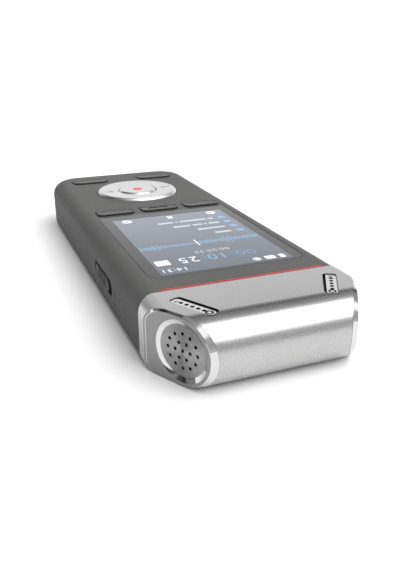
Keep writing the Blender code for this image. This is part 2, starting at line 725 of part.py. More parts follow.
def cap_mesh():
    """The plate that closes a slanted end, chamfered all round, with its recess and spigot."""
    plate = combined(head_block(0, SEAM + GAP / 2), [("INTERSECT", end_slab(CAP_BACK, CAP_FACE))])
    plate = tidy_mesh(plate, join_flats=True)
    inverse = TO_CAP.inverted()

    def on_front_rim(edge):
        return all(abs((inverse @ vert.co).z - CAP_FACE) < 1e-6 for vert in edge.verts)

    plate = bevel_edges(plate, on_front_rim, CAP_CHAMFER, 1)
    spigot = cylinder(SPIGOT_RADIUS, CAP_SPIGOT, CAP_BACK + 0.3 * MM, 48, TO_CAP)
    floor = CAP_FACE - RECESS_DEPTH
    recess = [
        (0, CAP_FACE + OVER), (RECESS_RADIUS, CAP_FACE + OVER), (RECESS_RADIUS, CAP_FACE),
        (RECESS_FLOOR_RADIUS, floor), (RECESS_FLOOR_RADIUS, CAP_SPIGOT - OVER),
        (0, CAP_SPIGOT - OVER)]
    return combined(plate, [("UNION", spigot), ("DIFFERENCE", turned(recess, 48, TO_CAP))])


def grille_mesh():
    """The perforated disc on the floor of the recess."""
    high = CAP_FACE - RECESS_DEPTH
    low = high - GRILLE_THICKNESS
    disc = cylinder(RECESS_FLOOR_RADIUS - GAP, low, high, 48, TO_CAP)
    steps = []
    for count, radius in HOLE_RINGS:
        for i in range(count):
            angle = math.pi + 2 * math.pi * i / count
            place = TO_CAP @ Matrix.Translation(
                (radius * math.cos(angle), radius * math.sin(angle), 0))
            steps.append(("DIFFERENCE", cylinder(HOLE_RADIUS, low - OVER, high + OVER, 10, place)))
    return combined(disc, steps)


def make_head_ends():
    inner, outer = BOOT_RADII
    boot_profile = [
        (inner, BOOT_SPAN[1]), (outer, BOOT_SPAN[1]), (outer, BOOT_SPAN[0]), (inner, BOOT_SPAN[0])]
    pieces = {
        "end_cap": (cap_mesh(), "polished_metal"),
        "mic_grille": (grille_mesh(), "silver_metal"),
        "mic_capsule": (cylinder(CAPSULE_RADIUS, *CAPSULE_SPAN, 32, TO_CAP), "plated_steel"),
        "mic_boot": (turned(boot_profile, 32, TO_CAP, ring=True), "black_rubber"),
    }
    for name, (mesh, finish) in pieces.items():
        left = mirrored(mesh)
        add_part(name + "_right", mesh, finish)
        add_part(name + "_left", left, finish)


def make_head_frame():
    """The plastic core of the head, with a tongue into the body and a way for the wires."""
    block = head_block(SLEEVE_WALL + GAP, SEAM + GAP)
    beyond = end_slab(FRAME_END, 40 * MM)
    tongue = box((-10 * MM, SEAM - 5.5 * MM, 4.4 * MM), (10 * MM, SEAM + 2 * MM, 10.1 * MM))
    passage = box((-7 * MM, SEAM - 7 * MM, 5.6 * MM), (7 * MM, SEAM + 13 * MM, 8.9 * MM))
    frame = combined(block, [
        ("DIFFERENCE", beyond), ("DIFFERENCE", mirrored(beyond)), ("UNION", tongue),
        ("DIFFERENCE", passage)])
    add_part("head_frame", frame, "black_plastic")


# Inside the body

def make_boards():
    low, high = BOARD_Z
    outline = rounded_rectangle(
        (-BOARD_HALF, behind_seam(BOARD_SPAN[1])), (BOARD_HALF, behind_seam(BOARD_SPAN[0])),
        1 * MM, 6.5 * MM, 4)
    board = add_part("main_board", extruded(outline, low, high), "board")
    y = behind_seam(SWITCH_BACK)
    half = SWITCH_BODY[1] / 2 + GAP
    x = HALF - WALL - SWITCH_BODY[0] - 3 * GAP
    boolean(board, box((x, y - half, low - OVER), (HALF, y + half, high + OVER)))
    for x, y in screw_places():
        place = Matrix.Translation((x, y, 0))
        boolean(board, cylinder(BOSS_RADIUS + 0.5 * MM, low - OVER, high + OVER, 16, place))
    outline = rounded_rectangle(
        (-KEY_BOARD_HALF, behind_seam(KEY_BOARD_SPAN[1])),
        (KEY_BOARD_HALF, behind_seam(KEY_BOARD_SPAN[0])), 1 * MM, 5 * MM, 4)
    key_board = add_part("key_board", extruded(outline, *KEY_BOARD_Z), "board")
    for x, y in screw_places():
        place = Matrix.Translation((x, y, 0))
        boolean(key_board, cylinder(BOSS_RADIUS + 0.5 * MM, BOARD_Z[1], DOME_Z[1], 16, place))


def dome_places():
    centre = Vector((0, behind_seam(RING_BACK), 0))
    places = [key_centre(key) for key in KEYS]
    places.append(centre)
    for i in range(4):
        angle = i * math.pi / 2
        places.append(centre + RING_DOME_RADIUS * Vector((math.cos(angle), math.sin(angle), 0)))
    return places


def make_board_parts():
    """The dome sheet on the key board, and the two large chips under the main board."""
    outline = rounded_rectangle(
        (-KEY_BOARD_HALF + 1 * MM, behind_seam(KEY_BOARD_SPAN[1]) + 2 * MM),
        (KEY_BOARD_HALF - 1 * MM, behind_seam(KEY_BOARD_SPAN[0])), 1 * MM, 3 * MM, 3)
    film = extruded(outline, DOME_Z[0] - DOME_FILM, DOME_Z[0])
    domes = [
        ("UNION", cylinder(
            DOME_RADIUS, DOME_Z[0] - DOME_FILM / 2, DOME_Z[1], 14,
            Matrix.Translation((place.x, place.y, 0))))
        for place in dome_places()]
    add_part("dome_sheet", combined(film, domes), "plated_steel")
    chip_top = BOARD_Z[0] - GAP
    for name, (x, back, half_x, half_y, height) in CHIPS.items():
        y = behind_seam(back)
        add_part(name, box(
            (x - half_x, y - half_y, chip_top - height), (x + half_x, y + half_y, chip_top)),
            "black_plastic")


def make_battery():
    battery = box(
        (BATTERY_X[0], behind_seam(BATTERY_SPAN[1]), BATTERY_Z[0]),
        (BATTERY_X[1], behind_seam(BATTERY_SPAN[0]), BATTERY_Z[1]))
    battery = bevel_edges(
        battery, lambda edge: abs(edge.verts[0].co.y - edge.verts[1].co.y) > MM, 1.2 * MM, 3)
    add_part("battery_pack", battery, "battery_foil")


def make_loudspeaker():
    low, high = SPEAKER_Z
    profile = [
        (0, high), (SPEAKER_RADIUS * 0.55, high), (SPEAKER_RADIUS * 0.55, high - 1.4 * MM),
        (SPEAKER_RADIUS, high - 1.4 * MM), (SPEAKER_RADIUS, low),
        (SPEAKER_RADIUS * 0.85, low), (SPEAKER_RADIUS * 0.5, low + 0.8 * MM), (0, low + 0.5 * MM)]
    place = Matrix.Translation((0, behind_seam(SPEAKER_BACK), 0))
    add_part("loudspeaker", turned(profile, 32, place), "black_plastic")


def make_sockets():
    length, width, height = JACK_SIZE
    mouth = -HALF + WALL + GAP
    for name, back in zip(("earphone_socket", "microphone_socket"), JACK_BACKS):
        y = behind_seam(back)
        body = box(
            (mouth, y - width / 2, JACK_HEIGHT - height / 2),
            (mouth + length, y + width / 2, JACK_HEIGHT + height / 2))
        socket = add_part(name, body, "black_plastic")
        place = Matrix.Translation((0, y, JACK_HEIGHT)) @ TO_SIDE
        boolean(socket, cylinder(JACK_BORE, mouth - OVER, mouth + length - 1 * MM, 20, place))
    length, width, height = CARD_SIZE
    y = behind_seam(CARD_BACK)
    card = add_part("card_socket", box(
        (mouth, y - width / 2, CARD_HEIGHT - height / 2),
        (mouth + length, y + width / 2, CARD_HEIGHT + height / 2)), "plated_steel")
    boolean(card, box(
        (mouth - OVER, y - CARD_SLOT[0] / 2, CARD_HEIGHT - CARD_SLOT[1] / 2),
        (mouth + length - 1 * MM, y + CARD_SLOT[0] / 2, CARD_HEIGHT + CARD_SLOT[1] / 2)))
    width, length, height = USB_SIZE
    end = FAR_END + 0.4 * MM
    wall = 0.3 * MM
    tongue = 0.35 * MM
    usb = add_part("usb_socket", box(
        (-width / 2, end, USB_HEIGHT - height / 2),
        (width / 2, end + length, USB_HEIGHT + height / 2)), "plated_steel")
    for side in (-1, 1):
        faces = sorted((USB_HEIGHT + side * tongue, USB_HEIGHT + side * (height / 2 - wall)))
        boolean(usb, box(
            (-width / 2 + wall, end - OVER, faces[0]),
            (width / 2 - wall, end + length - 1 * MM, faces[1])))


clear_scene()
PARTS = new_collection("dictation_recorder")
CUTTERS = new_collection("cutters")
MATERIALS = {name: make_material(name, *finish) for name, finish in FINISHES.items()}

make_front_housing()
make_rear_housing()
make_accent_strip()
make_case_screws()
make_display()
make_keys()
make_ring_and_button()
make_slide_switch()
make_head_sleeve()
make_slot_grilles()
make_head_ends()
make_head_frame()
make_boards()
make_board_parts()
make_battery()
make_loudspeaker()
make_sockets()

for part in PARTS.objects:
    part.data.shade_smooth()
    part.data.set_sharp_from_angle(angle=math.radians(35))
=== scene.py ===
"""Looks of the pocket dictation recorder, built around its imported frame.

Metres, in the frame of the CAD model: +Z out of the display, +Y toward the microphone head,
+X to the right when facing the display.
"""
import math

import bmesh
import bpy
from mathutils import Matrix, Vector


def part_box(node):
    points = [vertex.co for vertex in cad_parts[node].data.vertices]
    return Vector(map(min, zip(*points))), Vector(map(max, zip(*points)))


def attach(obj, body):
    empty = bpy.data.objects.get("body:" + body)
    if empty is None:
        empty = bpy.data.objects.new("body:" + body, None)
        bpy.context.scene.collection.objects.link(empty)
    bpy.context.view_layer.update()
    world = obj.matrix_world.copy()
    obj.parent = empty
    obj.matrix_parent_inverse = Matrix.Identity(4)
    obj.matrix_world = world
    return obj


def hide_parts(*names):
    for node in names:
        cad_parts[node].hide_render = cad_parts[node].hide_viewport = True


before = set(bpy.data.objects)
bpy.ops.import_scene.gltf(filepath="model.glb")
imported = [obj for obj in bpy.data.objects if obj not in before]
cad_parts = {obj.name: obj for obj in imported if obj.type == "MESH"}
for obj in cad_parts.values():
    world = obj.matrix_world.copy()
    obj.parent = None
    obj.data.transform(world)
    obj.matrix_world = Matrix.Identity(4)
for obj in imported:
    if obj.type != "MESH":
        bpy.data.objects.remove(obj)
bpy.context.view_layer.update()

MM = 0.001

# Edges of the CAD pieces that everything here is placed from
front_low, front_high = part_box("front_housing")
rear_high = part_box("rear_housing")[1]
sleeve_low, sleeve_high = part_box("head_sleeve")
window_low, window_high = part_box("display_window")
ring_low, ring_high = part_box("nav_ring")
button_low, button_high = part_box("record_button")

HALF = front_high.x
TOP = sleeve_high.z
MIDDLE = TOP / 2
FAR_END = front_low.y
SEAM = (front_high.y + sleeve_low.y) / 2
NOSE_TIP = sleeve_high.y
PARTING = (rear_high.z + front_low.z) / 2
RING_CENTRE = (ring_low + ring_high) / 2

# Shell
WALL = 1.4 * MM
FRONT_WALL = 2.0 * MM
TOP_ROUND = 4.0 * MM
BACK_ROUND = 1.9 * MM
FAR_CORNER = 9.0 * MM
HAIRLINE = 0.05 * MM        # half of the fine line left between shells
SWITCH_MARKS = (SEAM - 41.8 * MM, SEAM - 18.0 * MM)     # dashes beside the slide switch
KEY_FLANGE = 0.7 * MM       # how far a key's flange reaches past its cap
SOCKET_MOUTH = 2.2 * MM     # radius

# Head
SLANT = math.radians(30)
SLANT_POINT = Vector((17.97 * MM, SEAM + 11.53 * MM, MIDDLE))
NOSE_START = SLANT_POINT.y
SHOULDER = (3.2 * MM, 4.0 * MM)
SLEEVE_WALL = 1.0 * MM
CAP_FACE = 0.13 * MM         # level of the plate's face at its centre, along the normal
FACE_SLOPE = 0.032           # the face rises toward the nose
RIM = -0.50 * MM             # level where the sleeve ends and the plate begins
RIM_SLOPE = -0.028           # the sleeve's end falls away toward the nose
CAP_TAPER = 0.24 * MM
RECESS_RADIUS = 6.1 * MM
FLOOR_RADIUS = 5.25 * MM
CAP_FLOOR = -0.30 * MM       # level of the perforated disc in its recess
SLOT_LENGTH = 10.1 * MM
SLOT_WIDTH = 2.8 * MM
CAP_POINTS = 160
OVER = 2.0 * MM              # how far cutting tools reach past what they cut

TO_SIDE = Matrix(((0, 0, 1, 0), (1, 0, 0, 0), (0, 1, 0, 0), (0, 0, 0, 1)))
TO_END = Matrix(((1, 0, 0, 0), (0, 0, -1, 0), (0, 1, 0, 0), (0, 0, 0, 1)))
TO_CAP = Matrix.Translation(SLANT_POINT) @ Matrix((
    (-math.sin(SLANT), 0, math.cos(SLANT), 0),
    (math.cos(SLANT), 0, math.sin(SLANT), 0),
    (0, 1, 0, 0),
    (0, 0, 0, 1),
))
FLIP_X = Matrix.Diagonal((-1, 1, 1, 1))


# ---------------------------------------------------------------- mesh helpers

def mesh_from(work, name="shape"):
    mesh = bpy.data.meshes.new(name)
    work.to_mesh(mesh)
    work.free()
    return mesh


def tidy(mesh, join_flats=False):
    """Weld the mesh and turn its faces outward; join_flats makes each flat one face."""
    work = bmesh.new()
    work.from_mesh(mesh)
    bmesh.ops.remove_doubles(work, verts=work.verts, dist=1e-6)
    if join_flats:
        bmesh.ops.dissolve_limit(
            work, angle_limit=math.radians(0.3), verts=work.verts, edges=work.edges)
    bmesh.ops.recalc_face_normals(work, faces=work.faces)
    work.to_mesh(mesh)
    work.free()
    return mesh


def lofted(rings, ring=False, turn=Matrix.Identity(4)):
    """A closed skin over rings of equally many points; ring joins the last to the first."""
    work = bmesh.new()
    loops = [[work.verts.new(turn @ Vector(point)) for point in points] for points in rings]
    count = len(loops[0])
    pairs = list(zip(loops, loops[1:]))
    if ring:
        pairs.append((loops[-1], loops[0]))
    for lower, upper in pairs:
        for i in range(count):
            j = (i + 1) % count
            work.faces.new((lower[i], lower[j], upper[j], upper[i]))
    if not ring:
        work.faces.new(loops[0][::-1])
        work.faces.new(loops[-1])
    return tidy(mesh_from(work))


def extruded(outline, low, high, turn=Matrix.Identity(4)):
    rings = [[(u, v, level) for u, v in outline] for level in (low, high)]
    return lofted(rings, turn=turn)


def round_angles(count):
    return [2 * math.pi * i / count for i in range(count)]


def turned(profile, steps, turn=Matrix.Identity(4), ring=False):
    """A profile of (radius, height) points turned about Z."""
    rings = [
        [(radius * math.cos(a), radius * math.sin(a), height) for a in round_angles(steps)]
        for radius, height in profile]
    return lofted(rings, ring=ring, turn=turn)


def softened(points, size, steps=4, closed=True):
    """The corners of an outline replaced by small curves that start at most size away."""
    most = 0.45             # of a side's length, so that neighbouring curves never meet
    result = []
    count = len(points)
    for i, point in enumerate(points):
        corner = Vector(point)
        if not closed and i in (0, count - 1):
            result.append(tuple(corner))
            continue
        before = Vector(points[i - 1]) - corner
        after = Vector(points[(i + 1) % count]) - corner
        start = corner + before.normalized() * min(size, before.length * most)
        end = corner + after.normalized() * min(size, after.length * most)
        for k in range(steps + 1):
            t = k / steps
            result.append(tuple(
                start * (1 - t) ** 2 + corner * (2 * t * (1 - t)) + end * t ** 2))
    return result


def box(low, high):
    outline = [(low[0], low[1]), (high[0], low[1]), (high[0], high[1]), (low[0], high[1])]
    return extruded(outline, low[2], high[2])


def arc(centre, radius_u, radius_v, start, end, steps):
    points = []
    for i in range(steps + 1):
        angle = math.radians(start + (end - start) * i / steps)
        points.append((
            centre[0] + radius_u * math.cos(angle), centre[1] + radius_v * math.sin(angle)))
    return points


def rounded_rectangle(low, high, near, far, steps=8):
    """A rectangle with its corners at high v rounded by near, those at low v by far."""
    left, bottom = low
    right, top = high
    return (
        arc((right - near, top - near), near, near, 0, 90, steps)
        + arc((left + near, top - near), near, near, 90, 180, steps)
        + arc((left + far, bottom + far), far, far, 180, 270, steps)
        + arc((right - far, bottom + far), far, far, 270, 360, steps)
    )


def in_scene(name, data):
    """A new object, linked to the scene."""
    obj = bpy.data.objects.new(name, data)
    bpy.context.scene.collection.objects.link(obj)
    return obj


def lozenge(centre, half_u, half_v, corner, steps=8):
    """A rectangle round a centre, with all its corners rounded alike."""
    u, v = centre
    return rounded_rectangle(
        (u - half_u, v - half_v), (u + half_u, v + half_v), corner, corner, steps)


def around(low, high, grow, near, far, steps=8):
    """A rounded rectangle that is larger than a box's top by grow on each side."""
    return rounded_rectangle(
        (low.x - grow, low.y - grow), (high.x + grow, high.y + grow), near, far, steps)


def combined(base, steps):
    """The mesh that a chain of (operation, mesh) Booleans makes of the base mesh."""
    for operation, mesh in steps:
        guide = in_scene("guide", base)
        tool = in_scene("tool", mesh)
        modifier = guide.modifiers.new("Shape", "BOOLEAN")
        modifier.operation = operation
        modifier.solver = "EXACT"
        modifier.object = tool
        bpy.context.view_layer.update()
        graph = bpy.context.evaluated_depsgraph_get()
        base = tidy(bpy.data.meshes.new_from_object(guide.evaluated_get(graph)), join_flats=True)
        for obj in (guide, tool):
            bpy.data.objects.remove(obj)
    return base


def cut(base, *meshes):
    return combined(base, [("DIFFERENCE", mesh) for mesh in meshes])


def mirrored(mesh):
    copy = mesh.copy()
    copy.transform(FLIP_X)
    return tidy(copy)


def joined(meshes):
    work = bmesh.new()
    for mesh in meshes:
        work.from_mesh(mesh)
    return mesh_from(work)


def add_piece(name, mesh, materials, body="case", replaces=(), edge=0.0, place=None,
              smooth=35):
    """A visible piece; edge is the width of the small round put on its sharp edges."""
    mesh.name = name
    if place is not None:
        mesh.transform(place.inverted())
    obj = in_scene(name, mesh)
    if place is not None:
        obj.matrix_world = place
    mesh.materials.clear()
    for material in materials if isinstance(materials, (list, tuple)) else [materials]:
        mesh.materials.append(material)
    mesh.shade_smooth()
    mesh.set_sharp_from_angle(angle=math.radians(smooth))
    if edge:
        bevel = obj.modifiers.new("Edge", "BEVEL")
        bevel.width = edge
        bevel.segments = 2
        bevel.limit_method = "ANGLE"
        bevel.angle_limit = math.radians(smooth)
        bevel.harden_normals = True
        bevel.use_clamp_overlap = True
    weighted = obj.modifiers.new("Normals", "WEIGHTED_NORMAL")
    weighted.keep_sharp = True
    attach(obj, body)
    if replaces:
        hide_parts(*replaces)
    return obj


def paint(obj, chosen):
    """Give the second material to the faces for which chosen(face) is true."""
    for face in obj.data.polygons:
        if chosen(face):
            face.material_index = 1


def from_axis(face):
    """How far a face's centre lies from its object's Z axis."""
    return Vector((face.center.x, face.center.y)).length


# ------------------------------------------------------------------- materials

def fill(node, **values):
    """Set a node's inputs; an underscore stands for the space in an input's name."""
    for key, value in values.items():
        node.inputs[key.replace("_", " ")].default_value = value


class Nodes:
    """A short way to build a material's node tree."""

    def __init__(self, name):
        self.material = bpy.data.materials.new(name)
        self.material.use_nodes = True
        self.tree = self.material.node_tree
        self.shader = self.tree.nodes["Principled BSDF"]
        self.coordinates = self.add("ShaderNodeTexCoord").outputs["Object"]

    def add(self, kind, **settings):
        node = self.tree.nodes.new(kind)
        for key, value in settings.items():
            setattr(node, key, value)
        return node

    def link(self, output, socket):
        self.tree.links.new(output, socket)

    def feed(self, socket, output):
        self.link(output, self.shader.inputs[socket])

    def noise(self, scale, detail, roughness=0.5):
        node = self.add("ShaderNodeTexNoise")
        fill(node, Scale=scale, Detail=detail, Roughness=roughness)
        self.link(self.coordinates, node.inputs["Vector"])
        return node.outputs["Fac"]

    def spread(self, value, low, high, start=0.3, end=0.7):
        node = self.add("ShaderNodeMapRange")
        fill(node, From_Min=start, From_Max=end, To_Min=low, To_Max=high)
        self.link(value, node.inputs["Value"])
        return node.outputs["Result"]

    def mix(self, factor, first, second):
        node = self.add("ShaderNodeMix", data_type="RGBA")
        self.link(factor, node.inputs["Factor"])
        for socket, value in ((node.inputs[6], first), (node.inputs[7], second)):
            if isinstance(value, bpy.types.NodeSocket):
                self.link(value, socket)
            else:
                socket.default_value = (*value, 1)
        return node.outputs[2]

    def bump(self, height, strength, distance):
        node = self.add("ShaderNodeBump")
        fill(node, Strength=strength, Distance=distance)
        self.link(height, node.inputs["Height"])
        self.feed("Normal", node.outputs["Normal"])


# Noise scales per metre: a scale of 1000 makes grains about 1 mm wide
PLASTIC_GRAIN = 2600.0
METAL_GRAIN = 4200.0
FOIL_GRAIN = 900.0
PIXELS = 5000.0
PLASTIC_PATCHES = 60.0
METAL_PATCHES = 45.0
SPUN_PATCHES = 400.0
SMUDGES = 160.0
LATHE_RINGS = 1500.0        # the ring texture's own scale, for rings about 0.2 mm apart
GLASS_SPECULAR = 0.34


def grey(value):
    return (value, value, value)


def moulded(name, dark, light, roughness, strength=0.25, coat=0.0, specular=0.5):
    """Moulded plastic or rubber: fine grain, slight mottling, roughness that varies a little."""
    nodes = Nodes(name)
    grain = nodes.noise(PLASTIC_GRAIN, 2.0)
    patches = nodes.noise(PLASTIC_PATCHES, 2.0)
    fine = nodes.noise(PLASTIC_GRAIN * 0.5, 4.0, 0.6)
    colour = nodes.mix(nodes.spread(patches, 0, 1), dark, light)
    colour = nodes.mix(nodes.spread(fine, 0, 0.25), colour, tuple(c * 0.8 for c in dark))
    nodes.feed("Base Color", colour)
    nodes.feed("Roughness", nodes.spread(fine, *roughness))
    nodes.bump(grain, strength, 0.02 * MM)
    fill(nodes.shader, Coat_Weight=coat, Coat_Roughness=0.12, Specular_IOR_Level=specular)
    return nodes.material


def metal(name, dark, light, roughness, grain=METAL_GRAIN, strength=0.1):
    """Blasted, plated or anodised metal."""
    nodes = Nodes(name)
    height = nodes.noise(grain, 3.0, 0.6)
    patches = nodes.noise(METAL_PATCHES, 2.0)
    nodes.feed("Base Color", nodes.mix(nodes.spread(patches, 0, 1), dark, light))
    nodes.feed("Roughness", nodes.spread(height, *roughness))
    nodes.bump(height, strength, 0.004 * MM)
    fill(nodes.shader, Metallic=1.0)
    return nodes.material


def spun(name, dark, light, roughness):
    """Metal turned on a lathe about its object's Z axis: fine rings, stretched highlights."""
    nodes = Nodes(name)
    rings = nodes.add("ShaderNodeTexWave", wave_type="RINGS", rings_direction="Z")
    fill(rings, Scale=LATHE_RINGS, Distortion=0.6, Detail=1.0)
    nodes.link(nodes.coordinates, rings.inputs["Vector"])
    patches = nodes.noise(SPUN_PATCHES, 2.0)
    nodes.feed("Base Color", nodes.mix(nodes.spread(patches, 0, 1), dark, light))
    nodes.feed("Roughness", nodes.spread(rings.outputs["Fac"], *roughness, 0, 1))
    nodes.bump(rings.outputs["Fac"], 0.15, 0.004 * MM)
    tangent = nodes.add("ShaderNodeTangent", direction_type="RADIAL", axis="Z")
    nodes.feed("Tangent", tangent.outputs["Tangent"])
    fill(nodes.shader, Metallic=1.0, Anisotropic=1.0, Anisotropic_Rotation=0.25)
    return nodes.material


def glassy(name, colour, glow=0.0):
    """Ink or lit picture under the window's gloss, with the faint dust a used window has."""
    nodes = Nodes(name)
    smudge = nodes.noise(SMUDGES, 3.0)
    tint = nodes.mix(nodes.spread(smudge, 0, 1), colour, tuple(c * 0.93 for c in colour))
    nodes.feed("Base Color", tint)
    nodes.feed("Roughness", nodes.spread(smudge, 0.05, 0.09))
    fill(nodes.shader, Specular_IOR_Level=GLASS_SPECULAR)
    if glow:
        nodes.feed("Emission Color", tint)
        fill(nodes.shader, Emission_Strength=glow)
    return nodes.material


def picture_ground(name, near_colour, far_colour, near_y, far_y):
    """The display's lit background, which fades from one colour to another along Y."""
    nodes = Nodes(name)
    split = nodes.add("ShaderNodeSeparateXYZ")
    nodes.link(nodes.coordinates, split.inputs["Vector"])
    fade = nodes.spread(split.outputs["Y"], 0, 1, far_y, near_y)
    pixels = nodes.noise(PIXELS, 1.0)
    colour = nodes.mix(fade, far_colour, near_colour)
    colour = nodes.mix(nodes.spread(pixels, 0, 0.12), colour, near_colour)
    nodes.feed("Base Color", colour)
    nodes.feed("Emission Color", colour)
    nodes.feed("Roughness", nodes.spread(pixels, 0.05, 0.08))
    fill(nodes.shader, Emission_Strength=1.0, Specular_IOR_Level=GLASS_SPECULAR)
    return nodes.material


CASE_COLOURS = ((0.100, 0.100, 0.099), (0.112, 0.112, 0.110))
BODY_PLASTIC = moulded("body_plastic", *CASE_COLOURS, (0.46, 0.54), specular=0.05)
KEY_PLASTIC = moulded("key_plastic", *CASE_COLOURS, (0.42, 0.50), specular=0.06)
# Black plastic for the black pieces; the same material is painted shade on the key walls, switch
# grooves, hole walls and slot walls
BLACK_PLASTIC_AND_PAINTED_SHADE = moulded("black_plastic", grey(0.012), grey(0.020), (0.4, 0.6))
BLACK_RUBBER = moulded("black_rubber", grey(0.015), grey(0.022), (0.7, 0.9))
RED_PLASTIC = moulded(
    "red_plastic", (0.30, 0.016, 0.016), (0.35, 0.022, 0.020), (0.34, 0.44), strength=0.1)
BOARD_GREEN = moulded("board_green", (0.01, 0.11, 0.035), (0.02, 0.16, 0.05), (0.35, 0.5))
SATIN_METAL = metal("satin_metal", grey(0.50), grey(0.54), (0.26, 0.30), strength=0.035)
CAP_METAL = metal("cap_metal", grey(0.25), grey(0.28), (0.30, 0.38))
POLISHED_METAL = metal("polished_metal", grey(0.66), grey(0.72), (0.06, 0.10), strength=0.03)
PLATED_STEEL = metal("plated_steel", grey(0.50), (0.60, 0.60, 0.59), (0.25, 0.4))
SPUN_METAL = spun("spun_metal", grey(0.34), grey(0.40), (0.40, 0.48))
BATTERY_FOIL = metal(
    "battery_foil", (0.45, 0.46, 0.48), (0.55, 0.56, 0.58), (0.35, 0.5), FOIL_GRAIN)
SILVER_PAINT = moulded(
    "silver_paint", grey(0.48), grey(0.52), (0.30, 0.38), strength=0.05, coat=0.2)
GREY_INK = moulded("grey_ink", grey(0.20), grey(0.25), (0.4, 0.5), strength=0.05)
RED_INK = moulded("red_ink", (0.62, 0.05, 0.06), (0.68, 0.07, 0.07), (0.35, 0.45), strength=0.05)
WINDOW_GLASS = glassy("window_glass", (0.014, 0.015, 0.016))
BRIGHT_METAL = metal("bright_metal", grey(0.86), grey(0.90), (0.30, 0.38))


# ------------------------------------------------------------------ body shell

def plan_outline(inset, near_end):
    """The body seen from the front: square at the head, rounded at the far end."""
    steps = 20
    side = HALF - inset
    end = FAR_END + inset
    corner = FAR_CORNER - inset
    return (
        [(side, near_end), (-side, near_end)]
        + arc((-side + corner, end + corner), corner, corner, 180, 270, steps)
        + arc((side - corner, end + corner), corner, corner, 270, 360, steps)
    )


def body_block(inset, near_end, plain_level, round_level, radius, steps=12):
    """The outline raised from plain_level to round_level, where its edge is rounded."""
    sign = 1 if round_level > plain_level else -1
    levels = [(inset, plain_level)]
    for i in range(steps + 1):
        angle = math.radians(90 * i / steps)
        levels.append((
            inset + radius * (1 - math.cos(angle)),
            round_level - sign * radius * (1 - math.sin(angle))))
    rings = [[(x, y, z) for x, y in plan_outline(grow, near_end)] for grow, z in levels]
    return lofted(rings)


def key_box(node):
    """The part of a key that shows: its box without the flange under the housing."""
    low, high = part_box(node)
    return Vector((low.x + KEY_FLANGE, low.y + KEY_FLANGE, low.z)), Vector(
        (high.x - KEY_FLANGE, high.y - KEY_FLANGE, high.z))


KEY_CORNERS = {
    "soft_key_right": 1.3 * MM, "home_key": 1.3 * MM, "soft_key_left": 1.3 * MM,
    "lower_key_right": 2.4 * MM, "lower_key_left": 2.4 * MM}


def key_outline(node, grow):
    low, high = key_box(node)
    corner = KEY_CORNERS[node] + grow
    far = 0.3 * MM + max(grow, 0)
    return around(low, high, grow, corner, far)


def side_centre(node):
    """The middle of a node's box, seen from the side."""
    low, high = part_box(node)
    return (low.y + high.y) / 2, (low.z + high.z) / 2


def side_pocket(length, height, centre):
    """A long hole with round ends; both sizes are outer ones."""
    corner = min(length, height) / 2 * 0.999        # a little short, so that no points meet
    return lozenge(centre, length / 2, height / 2, corner)


def top_openings():
    """Tools for the window, the keys, the ring's well and the accent line's groove."""
    fit = 0.08 * MM
    window = around(window_low, window_high, fit, 2.8 * MM, 0.8 * MM)
    tools = [extruded(window, window_low.z - 0.3 * MM, TOP + OVER)]
    key_gap = 0.32 * MM
    inside = TOP - FRONT_WALL - MM
    for node in KEY_CORNERS:
        tools.append(extruded(key_outline(node, key_gap), inside, TOP + OVER))
    well = Matrix.Translation((RING_CENTRE.x, RING_CENTRE.y, 0))
    well_radius = 12.25 * MM
    tools.append(turned([(well_radius, inside), (well_radius, TOP + OVER)], 128, well))
    low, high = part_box("accent_strip")
    tools.append(box(
        (low.x - fit, low.y - fit, low.z - fit), (high.x + fit, SEAM + OVER, TOP + OVER)))
    return tools


def side_openings():
    """Tools for the holes in the two sides and the far end."""
    middle = side_centre("slide_switch_knob")
    inside = HALF - WALL - OVER
    pocket = side_pocket(17.0 * MM, 3.8 * MM, middle)
    stem_slot = side_pocket(7.2 * MM, 2.0 * MM, middle)
    tools = [extruded(pocket, HALF - 0.8 * MM, HALF + OVER, TO_SIDE),
             extruded(stem_slot, inside, HALF + OVER, TO_SIDE)]
    pinhole_radius = 0.5 * MM
    pinhole = Matrix.Translation((0, SEAM - 83.8 * MM, 6.0 * MM)) @ TO_SIDE
    bore = [(pinhole_radius, inside), (pinhole_radius, HALF + OVER)]
    tools.append(turned(bore, 24, pinhole))
    for node in ("earphone_socket", "microphone_socket"):
        place = Matrix.Translation((0, *side_centre(node))) @ TO_SIDE
        mouth = [(SOCKET_MOUTH, -HALF - OVER), (SOCKET_MOUTH, -HALF + WALL + MM)]
        tools.append(turned(mouth, 48, place))
    slot = lozenge(side_centre("card_socket"), 6.0 * MM, 0.7 * MM, 0.5 * MM)
    tools.append(extruded(slot, -HALF - OVER, -HALF + WALL + MM, TO_SIDE))
    low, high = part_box("usb_socket")
    gap = 0.2 * MM
    slot = rounded_rectangle(
        (low.x - gap, low.z - gap), (high.x + gap, high.z + gap), 0.5 * MM, 0.9 * MM)
    tools.append(extruded(slot, -FAR_END - WALL - MM, -FAR_END + OVER, TO_END))
    for dash_y in SWITCH_MARKS:
        dash = side_pocket(0.45 * MM, 2.2 * MM, (dash_y, middle[1]))
        tools.append(extruded(dash, HALF - 0.15 * MM, HALF + OVER, TO_SIDE))
    return tools


def build_front_housing():
    near_end = SEAM - HAIRLINE
    shell = body_block(0, near_end, PARTING + HAIRLINE, TOP, TOP_ROUND)
    cavity = body_block(
        WALL, near_end - WALL, PARTING - OVER, TOP - FRONT_WALL, TOP_ROUND - WALL, 6)
    mesh = cut(shell, cavity, *top_openings(), *side_openings())
    add_piece("front_shell", mesh, BODY_PLASTIC,
              replaces=["front_housing"], edge=0.12 * MM)


def screw_centres():
    places = []
    for number in range(1, 5):
        low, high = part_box(f"case_screw_{number}")
        places.append(((low.x + high.x) / 2, (low.y + high.y) / 2))
    return places


